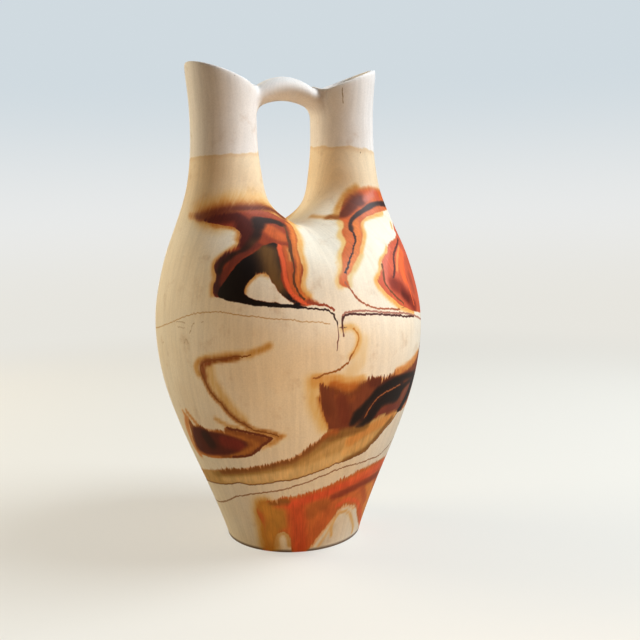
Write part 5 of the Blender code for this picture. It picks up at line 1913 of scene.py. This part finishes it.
def stage_material(stage):
    """Pale paper, warm under the vase and cooler up the backdrop, which glows more the further off it is."""
    material = bpy.data.materials.new("stage_paper")
    material.use_nodes = True
    wires = Wiring(material.node_tree)
    shader = material.node_tree.nodes["Principled BSDF"]
    x, y, height = wires.add("ShaderNodeSeparateXYZ", {0: wires.place()}).outputs[:3]
    rising = wires.ramp(height, 0.0, HORIZON_TOP)
    shade = wires.mix(rising, tuple(stage.floor_colour), tuple(stage.horizon_colour))
    shade = wires.mix(wires.ramp(height, WALL_START, WALL_WHOLE), shade, tuple(stage.wall_colour))
    far = wires.math("SQRT", wires.math("MULTIPLY_ADD", x, x, wires.math("MULTIPLY", y, y)))
    glow = wires.ramp(far, GLOW_START, stage.floor_radius, stage.glow, 1.0)
    dull = wires.math("SUBTRACT", 1.0, glow)
    wires.feed(wires.mix(dull, (0.0, 0.0, 0.0, 1.0), shade), shader.inputs["Base Color"])
    wires.feed(shade, shader.inputs["Emission Color"])
    seen = wires.add("ShaderNodeLightPath").outputs["Is Camera Ray"]
    wires.feed(wires.math("MULTIPLY", seen, glow), shader.inputs["Emission Strength"])
    shader.inputs["Roughness"].default_value = 0.9
    shader.inputs["Specular IOR Level"].default_value = 0.1
    return material


def soft_light(name, watts, size, bearing, rise, distance, tone):
    """Square soft light that shines at the middle of the vase, from a bearing off the camera's."""
    light = bpy.data.lights.new(name, "AREA")
    light.energy = watts
    light.size = size
    light.color = tone
    item = bpy.data.objects.new(name, light)
    bpy.context.scene.collection.objects.link(item)
    target = Vector((0, 0, LIGHT_TARGET_HEIGHT))
    away = Vector(
        (math.sin(bearing) * math.cos(rise), -math.cos(bearing) * math.cos(rise), math.sin(rise))
    )
    item.location = target + away * distance
    item.rotation_euler = away.to_track_quat("Z", "Y").to_euler()
    item.visible_camera = False
    return item


class VASE_OT_stage(bpy.types.Operator):
    """Sets up the pale sweep, the soft lights, the camera and the view settings"""

    bl_idname = "vase.stage"
    bl_label = "Stage"

    def execute(self, context):
        scene = context.scene
        stage = scene.vase_stage
        edge, rise = stage.floor_radius, stage.sweep_radius
        curve = [math.pi / 2 * k / SWEEP_STEPS for k in range(SWEEP_STEPS + 1)]
        sweep = [(edge + rise * math.sin(up), rise * (1 - math.cos(up))) for up in curve]
        paper = stage_material(stage)
        for name, profile in (
            ("stage_floor", [(edge / 4, 0.0), (edge, 0.0)]),
            ("stage_backdrop", sweep + [(edge + rise, stage.wall_top)]),
        ):
            item = bpy.data.objects.new(name, turned_mesh(name, profile))
            item.data.materials.append(paper)
            scene.collection.objects.link(item)
            item.visible_diffuse = item.visible_shadow = name == "stage_floor"
            item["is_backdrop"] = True

        bearing = -stage.camera_bearing
        for name, (size, side, rise, distance, tone) in LIGHTS.items():
            watts = getattr(stage, name + "_strength")
            side, rise = bearing + math.radians(side), math.radians(rise)
            soft_light(name + "_light", watts, size, side, rise, distance, tone)
        world = bpy.data.worlds.new("studio")
        world.use_nodes = True
        sky = world.node_tree.nodes["Background"]
        sky.inputs["Color"].default_value = SKY_TONE
        sky.inputs["Strength"].default_value = stage.world_strength
        scene.world = world

        camera = bpy.data.cameras.new("camera")
        camera.lens = stage.camera_lens
        camera.sensor_width = SENSOR_WIDTH
        camera.clip_start = NEAREST_SEEN
        item = bpy.data.objects.new("camera", camera)
        scene.collection.objects.link(item)
        stand = Vector((math.sin(bearing), -math.cos(bearing), 0.0)) * stage.camera_distance
        item.matrix_world = (
            Matrix.Translation(stand + Vector((0, 0, stage.camera_height)))
            @ Matrix.Rotation(bearing - stage.camera_heading, 4, "Z")
            @ Matrix.Rotation(math.pi / 2 - stage.camera_pitch, 4, "X")
            @ Matrix.Rotation(stage.camera_roll, 4, "Z")
        )
        scene.camera = item
        scene.view_settings.view_transform = "Standard"
        return {"FINISHED"}


class VASE_PT_panel(bpy.types.Panel):
    """Lists the vase's settings and the steps that build it"""

    bl_idname = "VASE_PT_panel"
    bl_label = "Wedding Vase"
    bl_space_type = "VIEW_3D"
    bl_region_type = "UI"
    bl_category = "Wedding Vase"

    def draw(self, context):
        for operator in OPERATORS:
            self.layout.operator(operator.bl_idname)
        for label, settings in SETTINGS.items():
            box = self.layout.box()
            box.label(text=label.replace("_", " "))
            group = getattr(context.scene, label)
            for name in settings.__annotations__:
                box.prop(group, name)


SETTINGS = {"vase_sizes": VaseSizes, "vase_finish": VaseFinish, "vase_stage": StageSettings}
OPERATORS = (VASE_OT_body, VASE_OT_spouts, VASE_OT_handle, VASE_OT_stage)
CLASSES = tuple(SETTINGS.values()) + OPERATORS + (VASE_PT_panel,)


def register():
    for item in CLASSES:
        bpy.utils.register_class(item)
    for label, settings in SETTINGS.items():
        setattr(bpy.types.Scene, label, bpy.props.PointerProperty(type=settings))


def unregister():
    for label in SETTINGS:
        delattr(bpy.types.Scene, label)
    for item in reversed(CLASSES):
        bpy.utils.unregister_class(item)


def main():
    register()
    bpy.ops.vase.body()
    bpy.ops.vase.spouts()
    bpy.ops.vase.handle()
    bpy.ops.vase.stage()
    boxes = {"cad": CAD_BOX, "visual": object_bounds()}
    plain = {name: [list(corner) for corner in box] for name, box in boxes.items()}


if __name__ == "__main__":
    main()
